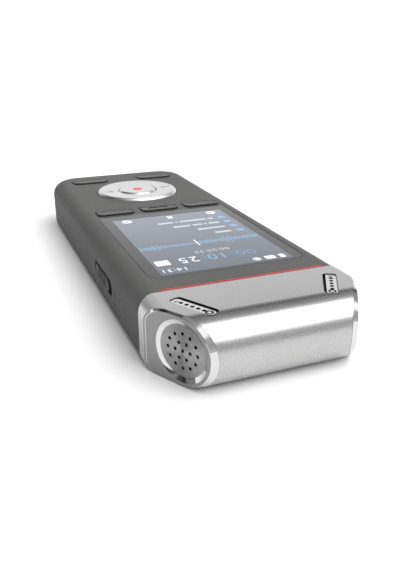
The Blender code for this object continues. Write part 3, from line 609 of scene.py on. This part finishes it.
def build_rear_housing():
    near_end = SEAM - HAIRLINE
    shell = body_block(0, near_end, PARTING - HAIRLINE, 0, BACK_ROUND, 8)
    cavity = extruded(plan_outline(WALL + 0.6 * MM, near_end - WALL), 1.1 * MM, PARTING + OVER)
    tools = [("DIFFERENCE", cavity)]
    for x, y in screw_centres():
        place = Matrix.Translation((x, y, 0))
        pad = [(2.6 * MM, 0.5 * MM), (2.6 * MM, PARTING - HAIRLINE - 0.05 * MM)]
        tools.append(("UNION", turned(pad, 32, place)))
    for x, y in screw_centres():
        place = Matrix.Translation((x, y, 0))
        sink = [(1.65 * MM, -OVER), (1.65 * MM, 0.9 * MM), (0.95 * MM, 1.4 * MM),
                (0.95 * MM, 3 * MM)]
        tools.append(("DIFFERENCE", turned(sink, 32, place)))
    speaker_y = side_centre("loudspeaker")[0]
    for i in range(-2, 3):
        y = speaker_y + i * 2.4 * MM
        slot = lozenge((0, y), 5.5 * MM, 0.5 * MM, 0.49 * MM, 6)
        tools.append(("DIFFERENCE", extruded(slot, -OVER, PARTING + OVER)))
    add_piece("back_shell", combined(shell, tools), BODY_PLASTIC,
              replaces=["rear_housing"], edge=0.12 * MM)


def build_accent_strip():
    low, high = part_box("accent_strip")
    reach = SEAM - HAIRLINE
    outline = rounded_rectangle((low.x, low.y), (high.x, reach), 0.02 * MM, 0.02 * MM, 2)
    add_piece("accent_line", extruded(outline, low.z, TOP - 0.01 * MM), RED_PLASTIC,
              replaces=["accent_strip"], edge=0.06 * MM)


# ------------------------------------------------------------------------ keys

def build_keys():
    """Caps that rise toward the head, each on the flange that holds it in."""
    for node, corner in KEY_CORNERS.items():
        low, high = key_box(node)
        length = high.y - low.y
        rings = []
        edge = 0.13 * MM
        bulge = edge * 0.29         # how far a round edge stays inside its corner at 45 degrees
        rise = high.z - TOP
        for inset, level in ((0, low.z), (0, TOP - edge), (bulge, TOP - bulge), (edge, TOP)):
            ring = []
            for x, y in key_outline(node, -inset):
                lift = rise * (y - low.y) / length if level > low.z else 0
                ring.append((x, y, level + lift))
            rings.append(ring)
        cap = lofted(rings)
        flange = extruded(
            around(*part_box(node), 0, corner, 0.6 * MM), low.z, low.z + 0.6 * MM)
        tools = [("UNION", flange)]
        if node == "home_key":
            y = SEAM - 57.2 * MM
            bar = lozenge((0, y), 2.8 * MM, 0.55 * MM, 0.3 * MM, 4)
            tools.append(("DIFFERENCE", extruded(bar, TOP - 0.3 * MM, TOP + OVER)))
        key = add_piece(node + "_cap", combined(cap, tools), [KEY_PLASTIC, BLACK_PLASTIC_AND_PAINTED_SHADE],
                        body=node, replaces=[node], smooth=50)
        # Painted shade: the caps' side walls and the home key's bar floor take the black material,
        # standing for the shade in the gaps round the keys
        paint(key, lambda face: abs(face.normal.z) < 0.4 or face.center.z < (
            TOP + rise * (face.center.y - low.y) / length - 0.12 * MM))


def build_ring():
    centre = RING_CENTRE
    place = Matrix.Translation((centre.x, centre.y, 0))
    outer = 12.0 * MM
    inner = 5.95 * MM
    flange = 12.9 * MM
    hollow = 10.2 * MM          # radius of the space under the ring
    low = ring_low.z
    high = ring_high.z
    profile = softened([
        (inner, high - 0.30 * MM), (inner + 0.35 * MM, high - 0.22 * MM),
        (8.6 * MM, high - 0.16 * MM), (outer - 0.95 * MM, high - 0.02 * MM),
        (outer - 0.55 * MM, high - 0.04 * MM), (outer, high - 0.62 * MM),
        (outer, low + 0.6 * MM), (flange, low + 0.6 * MM), (flange, low),
        (hollow, low), (hollow, low + 1.5 * MM), (inner, low + 1.5 * MM)], 0.14 * MM, 3)
    ring = add_piece("four_way_ring", turned(profile, 128, place, ring=True),
                     [SILVER_PAINT, BRIGHT_METAL], body="nav_ring",
                     replaces=["nav_ring"], place=place, smooth=40)
    polish_beyond(ring, outer - 0.58 * MM, high - 0.75 * MM)
    marks = []
    half = 0.55 * MM
    foot = high - 0.4 * MM
    for side in (1, -1):
        for step in (0, 1):
            tip = centre.x + side * (9.9 - step * 1.15) * MM
            root = centre.x + side * (8.9 - step * 1.15) * MM
            arrow = [(tip, centre.y), (root, centre.y + half), (root, centre.y - half)]
            marks.append(extruded(arrow, foot, high - 0.075 * MM))
        bar_x = centre.x + side * 10.15 * MM
        marks.append(box((bar_x - 0.14 * MM, centre.y - half, foot),
                         (bar_x + 0.14 * MM, centre.y + half, high - 0.03 * MM)))
    add_piece("ring_skip_marks", joined(marks), GREY_INK, body="nav_ring")


def polish_beyond(obj, radius, level):
    """Polish the faces outside a radius and above a level."""
    paint(obj, lambda face: from_axis(face) > radius and face.center.z > level)


def build_record_button():
    centre = (button_low + button_high) / 2
    place = Matrix.Translation((centre.x, centre.y, 0))
    high = button_high.z
    low = button_low.z
    axis = 0.02 * MM            # radius of the tiny end faces round the axis
    radius = 5.65 * MM
    rim = radius - 0.62 * MM
    flange = 6.5 * MM
    face = softened([
        (axis, high - 0.10 * MM), (3.6 * MM, high - 0.06 * MM), (rim, high),
        (radius, high - 0.55 * MM), (radius, low + 0.6 * MM), (flange, low + 0.6 * MM),
        (flange, low), (axis, low)], 0.12 * MM, 3, closed=False)
    button = add_piece("record_button_cap", turned(face, 96, place), [SILVER_PAINT, BRIGHT_METAL],
                       body="record_button", replaces=["record_button"],
                       place=place, smooth=40)
    polish_beyond(button, rim + 0.03 * MM, high - 0.75 * MM)
    dot_radius = 1.5 * MM
    dot = [(axis, high - 0.3 * MM), (dot_radius, high - 0.3 * MM),
           (dot_radius, high - 0.075 * MM), (axis, high - 0.06 * MM)]
    add_piece("record_dot", turned(dot, 48, place), RED_INK, body="record_button",
              place=place)


def build_slide_switch():
    low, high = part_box("slide_switch_knob")
    middle = side_centre("slide_switch_knob")
    length = high.y - low.y
    height = high.z - low.z
    floor = HALF - 0.55 * MM
    edge = 0.2 * MM
    levels = ((0, floor), (0, high.x - edge), (edge * 0.3, high.x - edge * 0.3), (edge, high.x))
    rings = []
    for inset, level in levels:
        outline = side_pocket(length - 2 * inset, height - 2 * inset, middle)
        rings.append([(u, v, level) for u, v in outline])
    knob = lofted(rings, turn=TO_SIDE)
    stem = extruded(side_pocket(3.0 * MM, 1.4 * MM, middle), low.x, floor + 0.2 * MM, TO_SIDE)
    tools = [("UNION", stem)]
    groove = [(-0.36 * MM, 0.1 * MM), (0.36 * MM, 0.1 * MM), (0.2 * MM, -0.45 * MM),
              (-0.2 * MM, -0.45 * MM)]
    swap_x_and_y = Matrix(((0, 1, 0, 0), (1, 0, 0, 0), (0, 0, 1, 0), (0, 0, 0, 1)))
    for i in range(-3, 4):
        cutter = extruded(groove, -height, height)
        place = Matrix.Translation((high.x, middle[0] + i * 1.2 * MM, middle[1]))
        cutter.transform(place @ swap_x_and_y)
        tools.append(("DIFFERENCE", tidy(cutter)))
    grip = add_piece("slide_switch_grip", combined(knob, tools), [KEY_PLASTIC, BLACK_PLASTIC_AND_PAINTED_SHADE],
                     body="slide_switch_knob",
                     replaces=["slide_switch_knob"], edge=0.04 * MM)
    # Painted shade: the grooves between the ribs and the grip's sides take the black material,
    # standing for the shade in them
    paint(grip, lambda face: face.center.x < high.x - 0.1 * MM or abs(face.normal.x) < 0.5)
    marks = []
    for dash_y in SWITCH_MARKS:
        dash = side_pocket(0.42 * MM, 2.16 * MM, (dash_y, middle[1]))
        marks.append(extruded(dash, HALF - 0.3 * MM, HALF - 0.03 * MM, TO_SIDE))
    add_piece("switch_marks", joined(marks), BLACK_PLASTIC_AND_PAINTED_SHADE)


# --------------------------------------------------------------------- display

PICTURE_HALF = 15.1 * MM
PICTURE_NEAR = SEAM - 7.6 * MM
PICTURE_FAR = SEAM - 48.9 * MM
GLASS_TOP = TOP - 0.02 * MM
INK = 0.006 * MM            # each layer of the picture lies this far above the one below
DIGIT_SHARE = 0.73          # height of a digit in the built-in font, as a share of its size


def picture_text(text, x, y, height, left=True):
    """Digits as a flat mesh, reading with +Y up; x is the end of the line it starts from."""
    curve = bpy.data.curves.new("digits", "FONT")
    curve.body = text
    curve.size = height / DIGIT_SHARE
    curve.align_x = "LEFT" if left else "RIGHT"
    curve.space_character = 1.12
    guide = in_scene("digits", curve)
    bpy.context.view_layer.update()
    graph = bpy.context.evaluated_depsgraph_get()
    mesh = bpy.data.meshes.new_from_object(guide.evaluated_get(graph))
    bpy.data.objects.remove(guide)
    mesh.transform(Matrix.Translation((x, y, 0)))
    return mesh


def flat(outline):
    work = bmesh.new()
    work.faces.new([work.verts.new((u, v, 0)) for u, v in outline])
    return mesh_from(work)


def flat_box(x, y, width, height, corner=0.0):
    if corner:
        return flat(lozenge((x, y), width / 2, height / 2, corner, 4))
    low = (x - width / 2, y - height / 2)
    high = (x + width / 2, y + height / 2)
    return flat([low, (high[0], low[1]), high, (low[0], high[1])])


def add_print(name, meshes, material, layer):
    """A layer of the picture: thin tiles with their tops a hair above the glass."""
    work = bmesh.new()
    for mesh in meshes:
        work.from_mesh(mesh)
    bmesh.ops.remove_doubles(work, verts=work.verts, dist=1e-7)
    bmesh.ops.recalc_face_normals(work, faces=work.faces)
    for face in work.faces:
        if face.normal.z < 0:
            face.normal_flip()
    top = GLASS_TOP + layer * INK
    raised = bmesh.ops.extrude_face_region(work, geom=list(work.faces))
    for item in raised["geom"]:
        if isinstance(item, bmesh.types.BMVert):
            item.co.z = top
    for vert in work.verts:
        if vert.co.z < top / 2:
            vert.co.z = GLASS_TOP - 0.3 * MM
    bmesh.ops.recalc_face_normals(work, faces=work.faces)
    add_piece(name, mesh_from(work), material)


def ring_icon(x, y, outer, inner):
    """A flat ring as a fan of tiles."""
    work = bmesh.new()
    count = 20
    rings = [
        [work.verts.new((x + radius * math.cos(a), y + radius * math.sin(a), 0))
         for a in round_angles(count)]
        for radius in (outer, inner)]
    for i in range(count):
        j = (i + 1) % count
        work.faces.new((rings[0][i], rings[0][j], rings[1][j], rings[1][i]))
    return mesh_from(work)


def word_bars(x, y, widths, height):
    """A line of writing shown as plain bars, one for each word."""
    bars = []
    gap = 0.55 * MM
    for width in widths:
        bars.append(flat_box(x + width / 2, y, width, height, height * 0.3))
        x += width + gap
    return bars


def waveform():
    """The level trace: thin bars under a slow swell with an irregular beat."""
    bars = []
    count = 74
    width = 29.2 * MM
    for i in range(count):
        x = -width / 2 + i * (width / (count - 1))
        swell = abs(math.sin(i * 0.21 + 0.8)) * abs(math.sin(i * 0.057 + 0.5))
        jitter = 0.5 + 0.5 * math.sin(i * 12.9898 + 3.1) * math.sin(i * 4.1414)
        tall = (1.7 + 4.2 * swell * (0.2 + 0.8 * jitter)) * (0.7 + 0.3 * math.cos(i * 2.4)) * MM
        bars.append(flat_box(x, SEAM - 24.4 * MM, 0.22 * MM, tall))
    return bars


def status_marks():
    """The clock, the mode box, two badges with a ring, and the line through the trace."""
    badge_y = SEAM - 9.3 * MM
    return [
        picture_text("14:31", 14.6 * MM, SEAM - 10.6 * MM, 1.8 * MM, left=False),
        flat_box(12.75 * MM, SEAM - 14.4 * MM, 3.2 * MM, 3.0 * MM, 0.3 * MM),
        flat_box(-13.2 * MM, badge_y, 1.3 * MM, 2.1 * MM, 0.25 * MM),
        flat_box(-10.3 * MM, badge_y, 2.4 * MM, 1.9 * MM, 0.25 * MM),
        flat_box(-7.1 * MM, SEAM - 9.1 * MM, 0.9 * MM, 1.5 * MM, 0.4 * MM),
        ring_icon(-7.1 * MM, badge_y, 0.95 * MM, 0.72 * MM),
        flat_box(0.9 * MM, SEAM - 24.6 * MM, 0.32 * MM, 4.3 * MM),
    ]


def foot_icons():
    foot = SEAM - 46.9 * MM
    half = 0.7 * MM
    tall = 1.2 * MM
    return [
        ring_icon(11.7 * MM, foot, 1.35 * MM, 0.45 * MM),
        ring_icon(-11.7 * MM, foot, 1.35 * MM, 0.45 * MM),
        flat([(-half, foot - tall), (0, foot - tall / 2), (half, foot - tall),
              (half, foot + tall), (-half, foot + tall)])]


# Lines of writing: distance below the head in mm, and the widths of the words in mm
WRITING = (
    (30.1, (4.4,)), (34.0, (7.4,)), (37.9, (2.9, 0.7, 2.6, 4.6)), (41.9, (1.7, 7.2, 0.6, 4.2)))


def build_display():
    outline = around(window_low, window_high, 0, 2.7 * MM, 0.7 * MM, 12)
    add_piece("display_glass", extruded(outline, window_low.z, GLASS_TOP), WINDOW_GLASS,
              replaces=["display_window"], edge=0.1 * MM)
    ground = picture_ground("picture_ground", (0.046, 0.056, 0.074), (0.095, 0.104, 0.128),
                            PICTURE_NEAR, PICTURE_FAR)
    middle = (PICTURE_NEAR + PICTURE_FAR) / 2
    add_print("picture_ground", [flat_box(
        0, middle, 2 * PICTURE_HALF, PICTURE_NEAR - PICTURE_FAR, 0.1 * MM)], ground, 1)
    white = glassy("picture_white", (0.46, 0.47, 0.48), 1.0)
    pale = glassy("picture_pale", (0.28, 0.30, 0.33), 1.0)
    blue = glassy("picture_blue", (0.050, 0.125, 0.230), 1.0)
    sky = glassy("picture_sky", (0.090, 0.190, 0.310), 1.0)
    for name, text, x, material in (
            ("hours", "00:", -9.2 * MM, blue), ("minutes", "10:", -2.4 * MM, sky),
            ("seconds", "25", 4.4 * MM, white)):
        digits = picture_text(text, x, SEAM - 15.85 * MM, 3.3 * MM)
        add_print("counter_" + name, [digits], material, 2)
    add_print("status_marks", status_marks(), white, 3)
    add_print("counter_left", [
        picture_text("00:20:35", -4.5 * MM, SEAM - 19.0 * MM, 1.6 * MM)], pale, 2)
    add_print("waveform", waveform(), sky, 2)
    lines = []
    for back, widths in WRITING:
        lines += word_bars(
            -10.4 * MM, SEAM - back * MM, [width * MM for width in widths], 1.15 * MM)
    add_print("text_bars", lines, pale, 2)
    icons = [flat_box(-12.7 * MM, SEAM - back * MM, 1.9 * MM, 1.8 * MM, 0.4 * MM)
             for back, _ in WRITING]
    add_print("line_icons", icons, sky, 2)
    add_print("foot_icons", foot_icons(), white, 2)


# ------------------------------------------------------------------------ head

def nose_profile(inset, start):
    """The head from the side: straight from start to the nose, then half an ellipse."""
    depth = NOSE_TIP - NOSE_START
    return (
        [(start, inset), (NOSE_START, inset)]
        + arc((NOSE_START, MIDDLE), depth - inset, MIDDLE - inset, -88, 88, 48)
        + [(NOSE_START, TOP - inset), (start, TOP - inset)]
    )


def head_section(inset):
    """The head from its tip: wide rounding at the front edges, small at the back."""
    side = HALF - inset
    across = SHOULDER[0] - inset
    down = SHOULDER[1] - inset
    back = BACK_ROUND - inset * 0.5
    top = TOP - inset
    return (
        arc((side - across, top - down), across, down, 0, 90, 14)
        + arc((-side + across, top - down), across, down, 90, 180, 14)
        + arc((-side + back, inset + back), back, back, 180, 270, 8)
        + arc((side - back, inset + back), back, back, 270, 360, 8)
    )


def head_block(inset, start):
    side_view = extruded(nose_profile(inset, start), -HALF - OVER, HALF + OVER, TO_SIDE)
    end_view = extruded(head_section(inset), -NOSE_TIP - OVER, -SEAM + 10 * MM, TO_END)
    return combined(side_view, [("INTERSECT", end_view)])


def beyond_rim():
    """All that lies outside the plane in which the sleeve ends."""
    reach = 30 * MM
    block = box((-reach, -20 * MM, 0), (reach, 20 * MM, reach))
    lean = Matrix.Rotation(-math.atan(RIM_SLOPE), 4, "Y")
    block.transform(TO_CAP @ Matrix.Translation((0, 0, RIM - 0.02 * MM)) @ lean)
    return block


def slot_place():
    low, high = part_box("slot_grille_right")
    centre = (low + high) / 2
    return Matrix.Translation((centre.x, centre.y, 0)) @ Matrix.Rotation(
        math.radians(90) + SLANT, 4, "Z")


def slot_shape(shrink, low, high):
    """A slot's shape, drawn in by half of shrink on each side."""
    length = SLOT_LENGTH - shrink
    width = SLOT_WIDTH - shrink
    outline = lozenge((0, 0), length / 2, width / 2, width * 0.32, 6)
    return extruded(outline, low, high, slot_place())


def build_sleeve():
    start = SEAM + HAIRLINE
    beyond = beyond_rim()
    slot = slot_shape(0, TOP - SLEEVE_WALL - MM, TOP + OVER)
    sleeve = cut(
        head_block(0, start), beyond, mirrored(beyond), head_block(SLEEVE_WALL, start - 3 * MM),
        slot, mirrored(slot))
    add_piece("head_shell", sleeve, SATIN_METAL, replaces=["head_sleeve"],
              edge=0.07 * MM, smooth=30)


def slot_strip_mesh():
    """The perforated strip in a slot: five holes, a dome and a riveted end."""
    low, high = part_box("slot_grille_right")
    level = TOP - 0.18 * MM
    half = SLOT_LENGTH / 2 - 0.15 * MM
    near_edge = -SLOT_WIDTH / 2 + 0.12 * MM
    far_edge = SLOT_WIDTH / 2 - 0.6 * MM
    middle = (near_edge + far_edge) / 2
    strip = extruded(rounded_rectangle(
        (-half, near_edge), (half, far_edge), 0.68 * MM, 0.68 * MM, 6), low.z, level, slot_place())
    tools = []
    for i in range(5):
        u = (i - 2) * 1.35 * MM - 0.15 * MM
        hole = lozenge((u, middle), 0.44 * MM, 0.4 * MM, 0.36 * MM, 4)
        tools.append(extruded(hole, low.z - MM, high.z + MM, slot_place()))
    rivet = slot_place() @ Matrix.Translation((3.75 * MM, middle, 0))
    tools.append(turned([(0.8 * MM, low.z - MM), (0.8 * MM, high.z + MM)], 32, rivet))
    dome = slot_place() @ Matrix.Translation((-3.95 * MM, middle, 0))
    axis = 0.02 * MM
    dome_radius = 0.6 * MM
    cup = [(axis, level + 0.16 * MM), (0.35 * MM, level + 0.12 * MM), (dome_radius, level),
           (dome_radius, level - 0.2 * MM), (axis, level - 0.2 * MM)]
    pin_radius = 0.42 * MM
    pin = [(axis, level), (pin_radius, level - 0.03 * MM), (pin_radius, low.z), (axis, low.z)]
    return joined([cut(strip, *tools), turned(cup, 24, dome), turned(pin, 24, rivet)])


def slot_shade_liner_mesh():
    """The thin wall round a slot, and the plate below its strip, both black as painted shade
    inside the slot.
    """
    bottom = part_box("slot_grille_right")[0].z
    wall = cut(slot_shape(0.02 * MM, bottom - 0.05 * MM, TOP - 0.05 * MM),
               slot_shape(0.14 * MM, bottom - MM, TOP + MM))
    return joined([wall, slot_shape(0.1 * MM, bottom - 0.3 * MM, bottom - 0.02 * MM)])


def build_slot_grilles():
    strip = slot_strip_mesh()
    shade_liner = slot_shade_liner_mesh()
    for side, strip_piece, shade_liner_piece in (
            ("right", strip, shade_liner), ("left", mirrored(strip), mirrored(shade_liner))):
        obj = add_piece("slot_strip_" + side, strip_piece, [BRIGHT_METAL, BLACK_PLASTIC_AND_PAINTED_SHADE],
                        replaces=["slot_grille_" + side], edge=0.03 * MM)
        # Painted shade: the hole walls and the strip's edges take the black material, standing for
        # the shade in the holes
        paint(obj, lambda face: abs(face.normal.z) < 0.1)
        # Painted shade: the black wall and plate stand for the shade inside the slot
        add_piece("slot_shade_liner_" + side, shade_liner_piece, BLACK_PLASTIC_AND_PAINTED_SHADE,
                  edge=0.02 * MM)


def cap_outline(level, slope, inset):
    """The slanted end's outline in a plane level + slope * u, drawn in by inset."""
    points = []
    for angle in round_angles(CAP_POINTS):
        direction = Vector((math.cos(angle), math.sin(angle)))
        near, far = 0.0, 15 * MM
        for _ in range(30):
            reach = (near + far) / 2
            u, v = direction * reach
            if inside_head((u, v, level + slope * u), inset):
                near = reach
            else:
                far = reach
        u, v = direction * near
        points.append((u, v, level + slope * u))
    return points


def inside_head(point, inset):
    """Whether a point in the slanted end's own axes lies in the head drawn in by inset."""
    place = TO_CAP @ Vector(point)
    if place.x > HALF - inset or abs(place.z - MIDDLE) > MIDDLE - inset:
        return False
    over_nose = place.y - NOSE_START
    if over_nose > 0:
        depth = NOSE_TIP - NOSE_START - inset / math.cos(SLANT)
        if (over_nose / depth) ** 2 + ((place.z - MIDDLE) / (MIDDLE - inset)) ** 2 > 1:
            return False
    across, down = SHOULDER
    past = Vector((place.x - (HALF - across), place.z - (TOP - down)))
    if past.x > 0 and past.y > 0:
        if (past.x / (across - inset)) ** 2 + (past.y / (down - inset)) ** 2 > 1:
            return False
    past = Vector((place.x - (HALF - BACK_ROUND), BACK_ROUND - place.z))
    if past.x > 0 and past.y > 0:
        return past.length < BACK_ROUND - inset
    return True


def cap_mesh():
    """The end plate with its polished chamfer, recess and spigot, as one closed skin."""
    spigot_radius = 5.75 * MM
    spigot_end = -1.35 * MM
    rings = [
        cap_outline(level, slope, inset) for level, slope, inset in (
            (RIM, RIM_SLOPE, 0.04 * MM), (RIM + 0.03 * MM, RIM_SLOPE, 0),
            (CAP_FACE - 0.04 * MM, FACE_SLOPE, CAP_TAPER),
            (CAP_FACE, FACE_SLOPE, CAP_TAPER + 0.05 * MM))]
    for radius, level, slope in (
            (RECESS_RADIUS + 0.08 * MM, CAP_FACE, FACE_SLOPE),
            (RECESS_RADIUS, CAP_FACE - 0.05 * MM, FACE_SLOPE), (FLOOR_RADIUS, CAP_FLOOR, 0),
            (FLOOR_RADIUS, spigot_end, 0), (spigot_radius, spigot_end, 0),
            (spigot_radius, RIM, RIM_SLOPE)):
        circle = [(radius * math.cos(a), radius * math.sin(a)) for a in round_angles(CAP_POINTS)]
        rings.append([(u, v, level + slope * u) for u, v in circle])
    return lofted(rings, ring=True, turn=TO_CAP)


def grille_mesh():
    """The perforated disc in an end plate: flat, with a broken edge and countersunk holes."""
    high = CAP_FLOOR
    low = high - 0.5 * MM
    radius = FLOOR_RADIUS - 0.01 * MM
    disc = turned([
        (radius, low), (radius, high - 0.04 * MM), (radius - 0.05 * MM, high)], 96, TO_CAP)
    hole_radius = 0.33 * MM
    sink_radius = 0.40 * MM
    profile = [(hole_radius, low - MM), (hole_radius, high - 0.06 * MM),
               (sink_radius, high + 0.01 * MM), (sink_radius, high + MM)]
    holes = []
    for count, ring in ((1, 0.0), (6, 1.74 * MM), (12, 3.46 * MM)):
        for i in range(count):
            angle = math.pi + 2 * math.pi * i / count
            centre = Matrix.Translation((ring * math.cos(angle), ring * math.sin(angle), 0))
            holes.append(turned(profile, 20, TO_CAP @ centre))
    return cut(disc, *holes)


def paint_cap(obj, toward_nose):
    """Polish the recess wall, and the chamfer as far as the shoulder."""
    def polished(face):
        tilt = abs(face.normal.z)
        if from_axis(face) < RECESS_RADIUS + 0.05 * MM:
            return tilt < 0.99
        return tilt < 0.97 and face.normal.x * toward_nose > -0.5

    paint(obj, polished)


def build_ends():
    cap = cap_mesh()
    disc = grille_mesh()
    left_cap = FLIP_X @ TO_CAP @ FLIP_X
    for side, cap_piece, disc_piece, place, toward_nose in (
            ("right", cap, disc, TO_CAP, 1),
            ("left", mirrored(cap), mirrored(disc), left_cap, -1)):
        obj = add_piece("end_plate_" + side, cap_piece, [CAP_METAL, POLISHED_METAL],
                        replaces=["end_cap_" + side], place=place, smooth=25)
        paint_cap(obj, toward_nose)
        obj = add_piece("mic_disc_" + side, disc_piece, [SPUN_METAL, BLACK_PLASTIC_AND_PAINTED_SHADE],
                        replaces=["mic_grille_" + side], place=place,
                        smooth=30)
        # Painted shade: the hole walls take the black material, standing for the shade in the
        # holes
        paint(obj, lambda face: abs(face.normal.z) < 0.3 and (
            from_axis(face) < FLOOR_RADIUS - 0.3 * MM))


# ----------------------------------------------------------- pieces kept as CAD

CAD_FINISHES = (
    (BLACK_PLASTIC_AND_PAINTED_SHADE, ("display_module", "ring_rocker", "head_frame", "processor_chip",
                     "memory_chip", "loudspeaker", "earphone_socket", "microphone_socket")),
    (BLACK_RUBBER, ("mic_boot_right", "mic_boot_left")),
    (PLATED_STEEL, ("slide_switch_body", "mic_capsule_right", "mic_capsule_left", "dome_sheet",
                    "card_socket", "usb_socket", "case_screw_1", "case_screw_2", "case_screw_3",
                    "case_screw_4")),
    (BOARD_GREEN, ("main_board", "key_board")),
    (BATTERY_FOIL, ("battery_pack",)),
)


def dress_cad_pieces():
    for material, nodes in CAD_FINISHES:
        for node in nodes:
            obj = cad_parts[node]
            if not obj.material_slots:
                obj.data.materials.append(material)
            for slot in obj.material_slots:
                slot.material = material


# --------------------------------------------------------- floor, light, camera

def build_stage():
    """The floor, and a pale backdrop that only the camera sees."""
    work = bmesh.new()
    bmesh.ops.create_grid(work, x_segments=1, y_segments=1, size=20.0)
    floor = in_scene("floor", mesh_from(work, "floor"))
    floor.location = (0, 0, -0.05 * MM)
    nodes = Nodes("pale_floor")
    tone = nodes.spread(nodes.noise(3.0, 2.0), 0, 1)
    nodes.feed("Base Color", nodes.mix(tone, grey(0.88), grey(0.90)))
    fill(nodes.shader, Roughness=0.9, Specular_IOR_Level=0.1)
    floor.data.materials.append(nodes.material)
    work = bmesh.new()
    bmesh.ops.create_uvsphere(work, u_segments=48, v_segments=24, radius=3.0)
    backdrop = in_scene("backdrop", mesh_from(work, "backdrop"))
    nodes = Nodes("pale_backdrop")
    tone = nodes.spread(nodes.noise(0.2, 1.0), 0, 1)
    nodes.feed("Emission Color", nodes.mix(tone, grey(1.0), grey(1.05)))
    fill(nodes.shader, Emission_Strength=1.0)
    backdrop.data.materials.append(nodes.material)
    backdrop.visible_diffuse = False
    backdrop.visible_glossy = False
    backdrop.visible_transmission = False
    backdrop.visible_shadow = False


# The studio's brightness at angles round X, in degrees, from the horizon beyond the body's far
# end (0) over the top (90) to the horizon beyond the head (180)
STUDIO = ((0, 1.08), (24, 1.1), (33, 0.80), (41, 0.12), (52, 0.10), (62, 0.36), (100, 0.42),
          (116, 1.4), (134, 1.4), (148, 0.50), (164, 0.46), (180, 0.62))


def build_world():
    """A pale studio that is graded from end to end, and dimmer toward +X."""
    world = bpy.data.worlds.new("studio")
    world.use_nodes = True
    tree = world.node_tree
    background = tree.nodes["Background"]

    def math_node(operation, first, second=0.0):
        node = tree.nodes.new("ShaderNodeMath")
        node.operation = operation
        for socket, value in zip(node.inputs, (first, second)):
            if isinstance(value, bpy.types.NodeSocket):
                tree.links.new(value, socket)
            else:
                socket.default_value = value
        return node.outputs[0]

    coordinates = tree.nodes.new("ShaderNodeTexCoord")
    split = tree.nodes.new("ShaderNodeSeparateXYZ")
    tree.links.new(coordinates.outputs["Generated"], split.inputs["Vector"])
    behind = math_node("MULTIPLY", split.outputs["Y"], -1.0)
    half_turns = math_node("DIVIDE", math_node("ARCTAN2", split.outputs["Z"], behind), math.pi)
    ramp = tree.nodes.new("ShaderNodeValToRGB")
    ramp.color_ramp.interpolation = "EASE"
    elements = ramp.color_ramp.elements
    while len(elements) < len(STUDIO):
        elements.new(0.5)
    for element, (degrees, value) in zip(elements, STUDIO):
        element.position = degrees / 180
        element.color = (value, value, value, 1)
    tree.links.new(half_turns, ramp.inputs["Fac"])
    dim = tree.nodes.new("ShaderNodeMapRange")
    fill(dim, From_Min=0.10, From_Max=0.60, To_Min=1.0, To_Max=0.2)
    tree.links.new(split.outputs["X"], dim.inputs["Value"])
    scaled = tree.nodes.new("ShaderNodeVectorMath")
    scaled.operation = "SCALE"
    tree.links.new(ramp.outputs["Color"], scaled.inputs[0])
    tree.links.new(dim.outputs["Result"], scaled.inputs["Scale"])
    tree.links.new(scaled.outputs["Vector"], background.inputs["Color"])
    fill(background, Strength=1.0)
    bpy.context.scene.world = world


def add_sun(name, toward, angle, strength, in_reflections=True):
    """A broad lamp that shines from the direction toward."""
    light = bpy.data.lights.new(name, "SUN")
    light.angle = math.radians(angle)
    light.energy = strength
    obj = in_scene(name, light)
    obj.rotation_mode = "QUATERNION"
    obj.rotation_quaternion = Vector(toward).to_track_quat("Z", "Y")
    obj.visible_glossy = in_reflections


def build_camera():
    data = bpy.data.cameras.new("camera")
    data.sensor_width = 36.0
    data.lens = 38.48
    data.clip_start = 0.005
    camera = in_scene("camera", data)
    camera.location = (0.04967, SEAM + 0.10154, 0.05959)
    camera.rotation_mode = "QUATERNION"
    look = Vector((-0.337, -0.859, -0.384)).to_track_quat("-Z", "Y")
    roll = Matrix.Rotation(math.radians(-0.26), 4, "Z").to_quaternion()
    camera.rotation_quaternion = look @ roll
    bpy.context.scene.camera = camera


build_camera()
build_front_housing()
build_rear_housing()
build_accent_strip()
build_keys()
build_ring()
build_record_button()
build_slide_switch()
build_display()
build_sleeve()
build_slot_grilles()
build_ends()
dress_cad_pieces()
build_stage()
build_world()
add_sun("key_light", (-0.50, 0.55, 1.0), 55, 1.9)
add_sun("fill_light", (-0.10, -0.2, 1.0), 80, 1.2, in_reflections=False)
bpy.context.scene.view_settings.view_transform = "Standard"

bpy.context.view_layer.update()
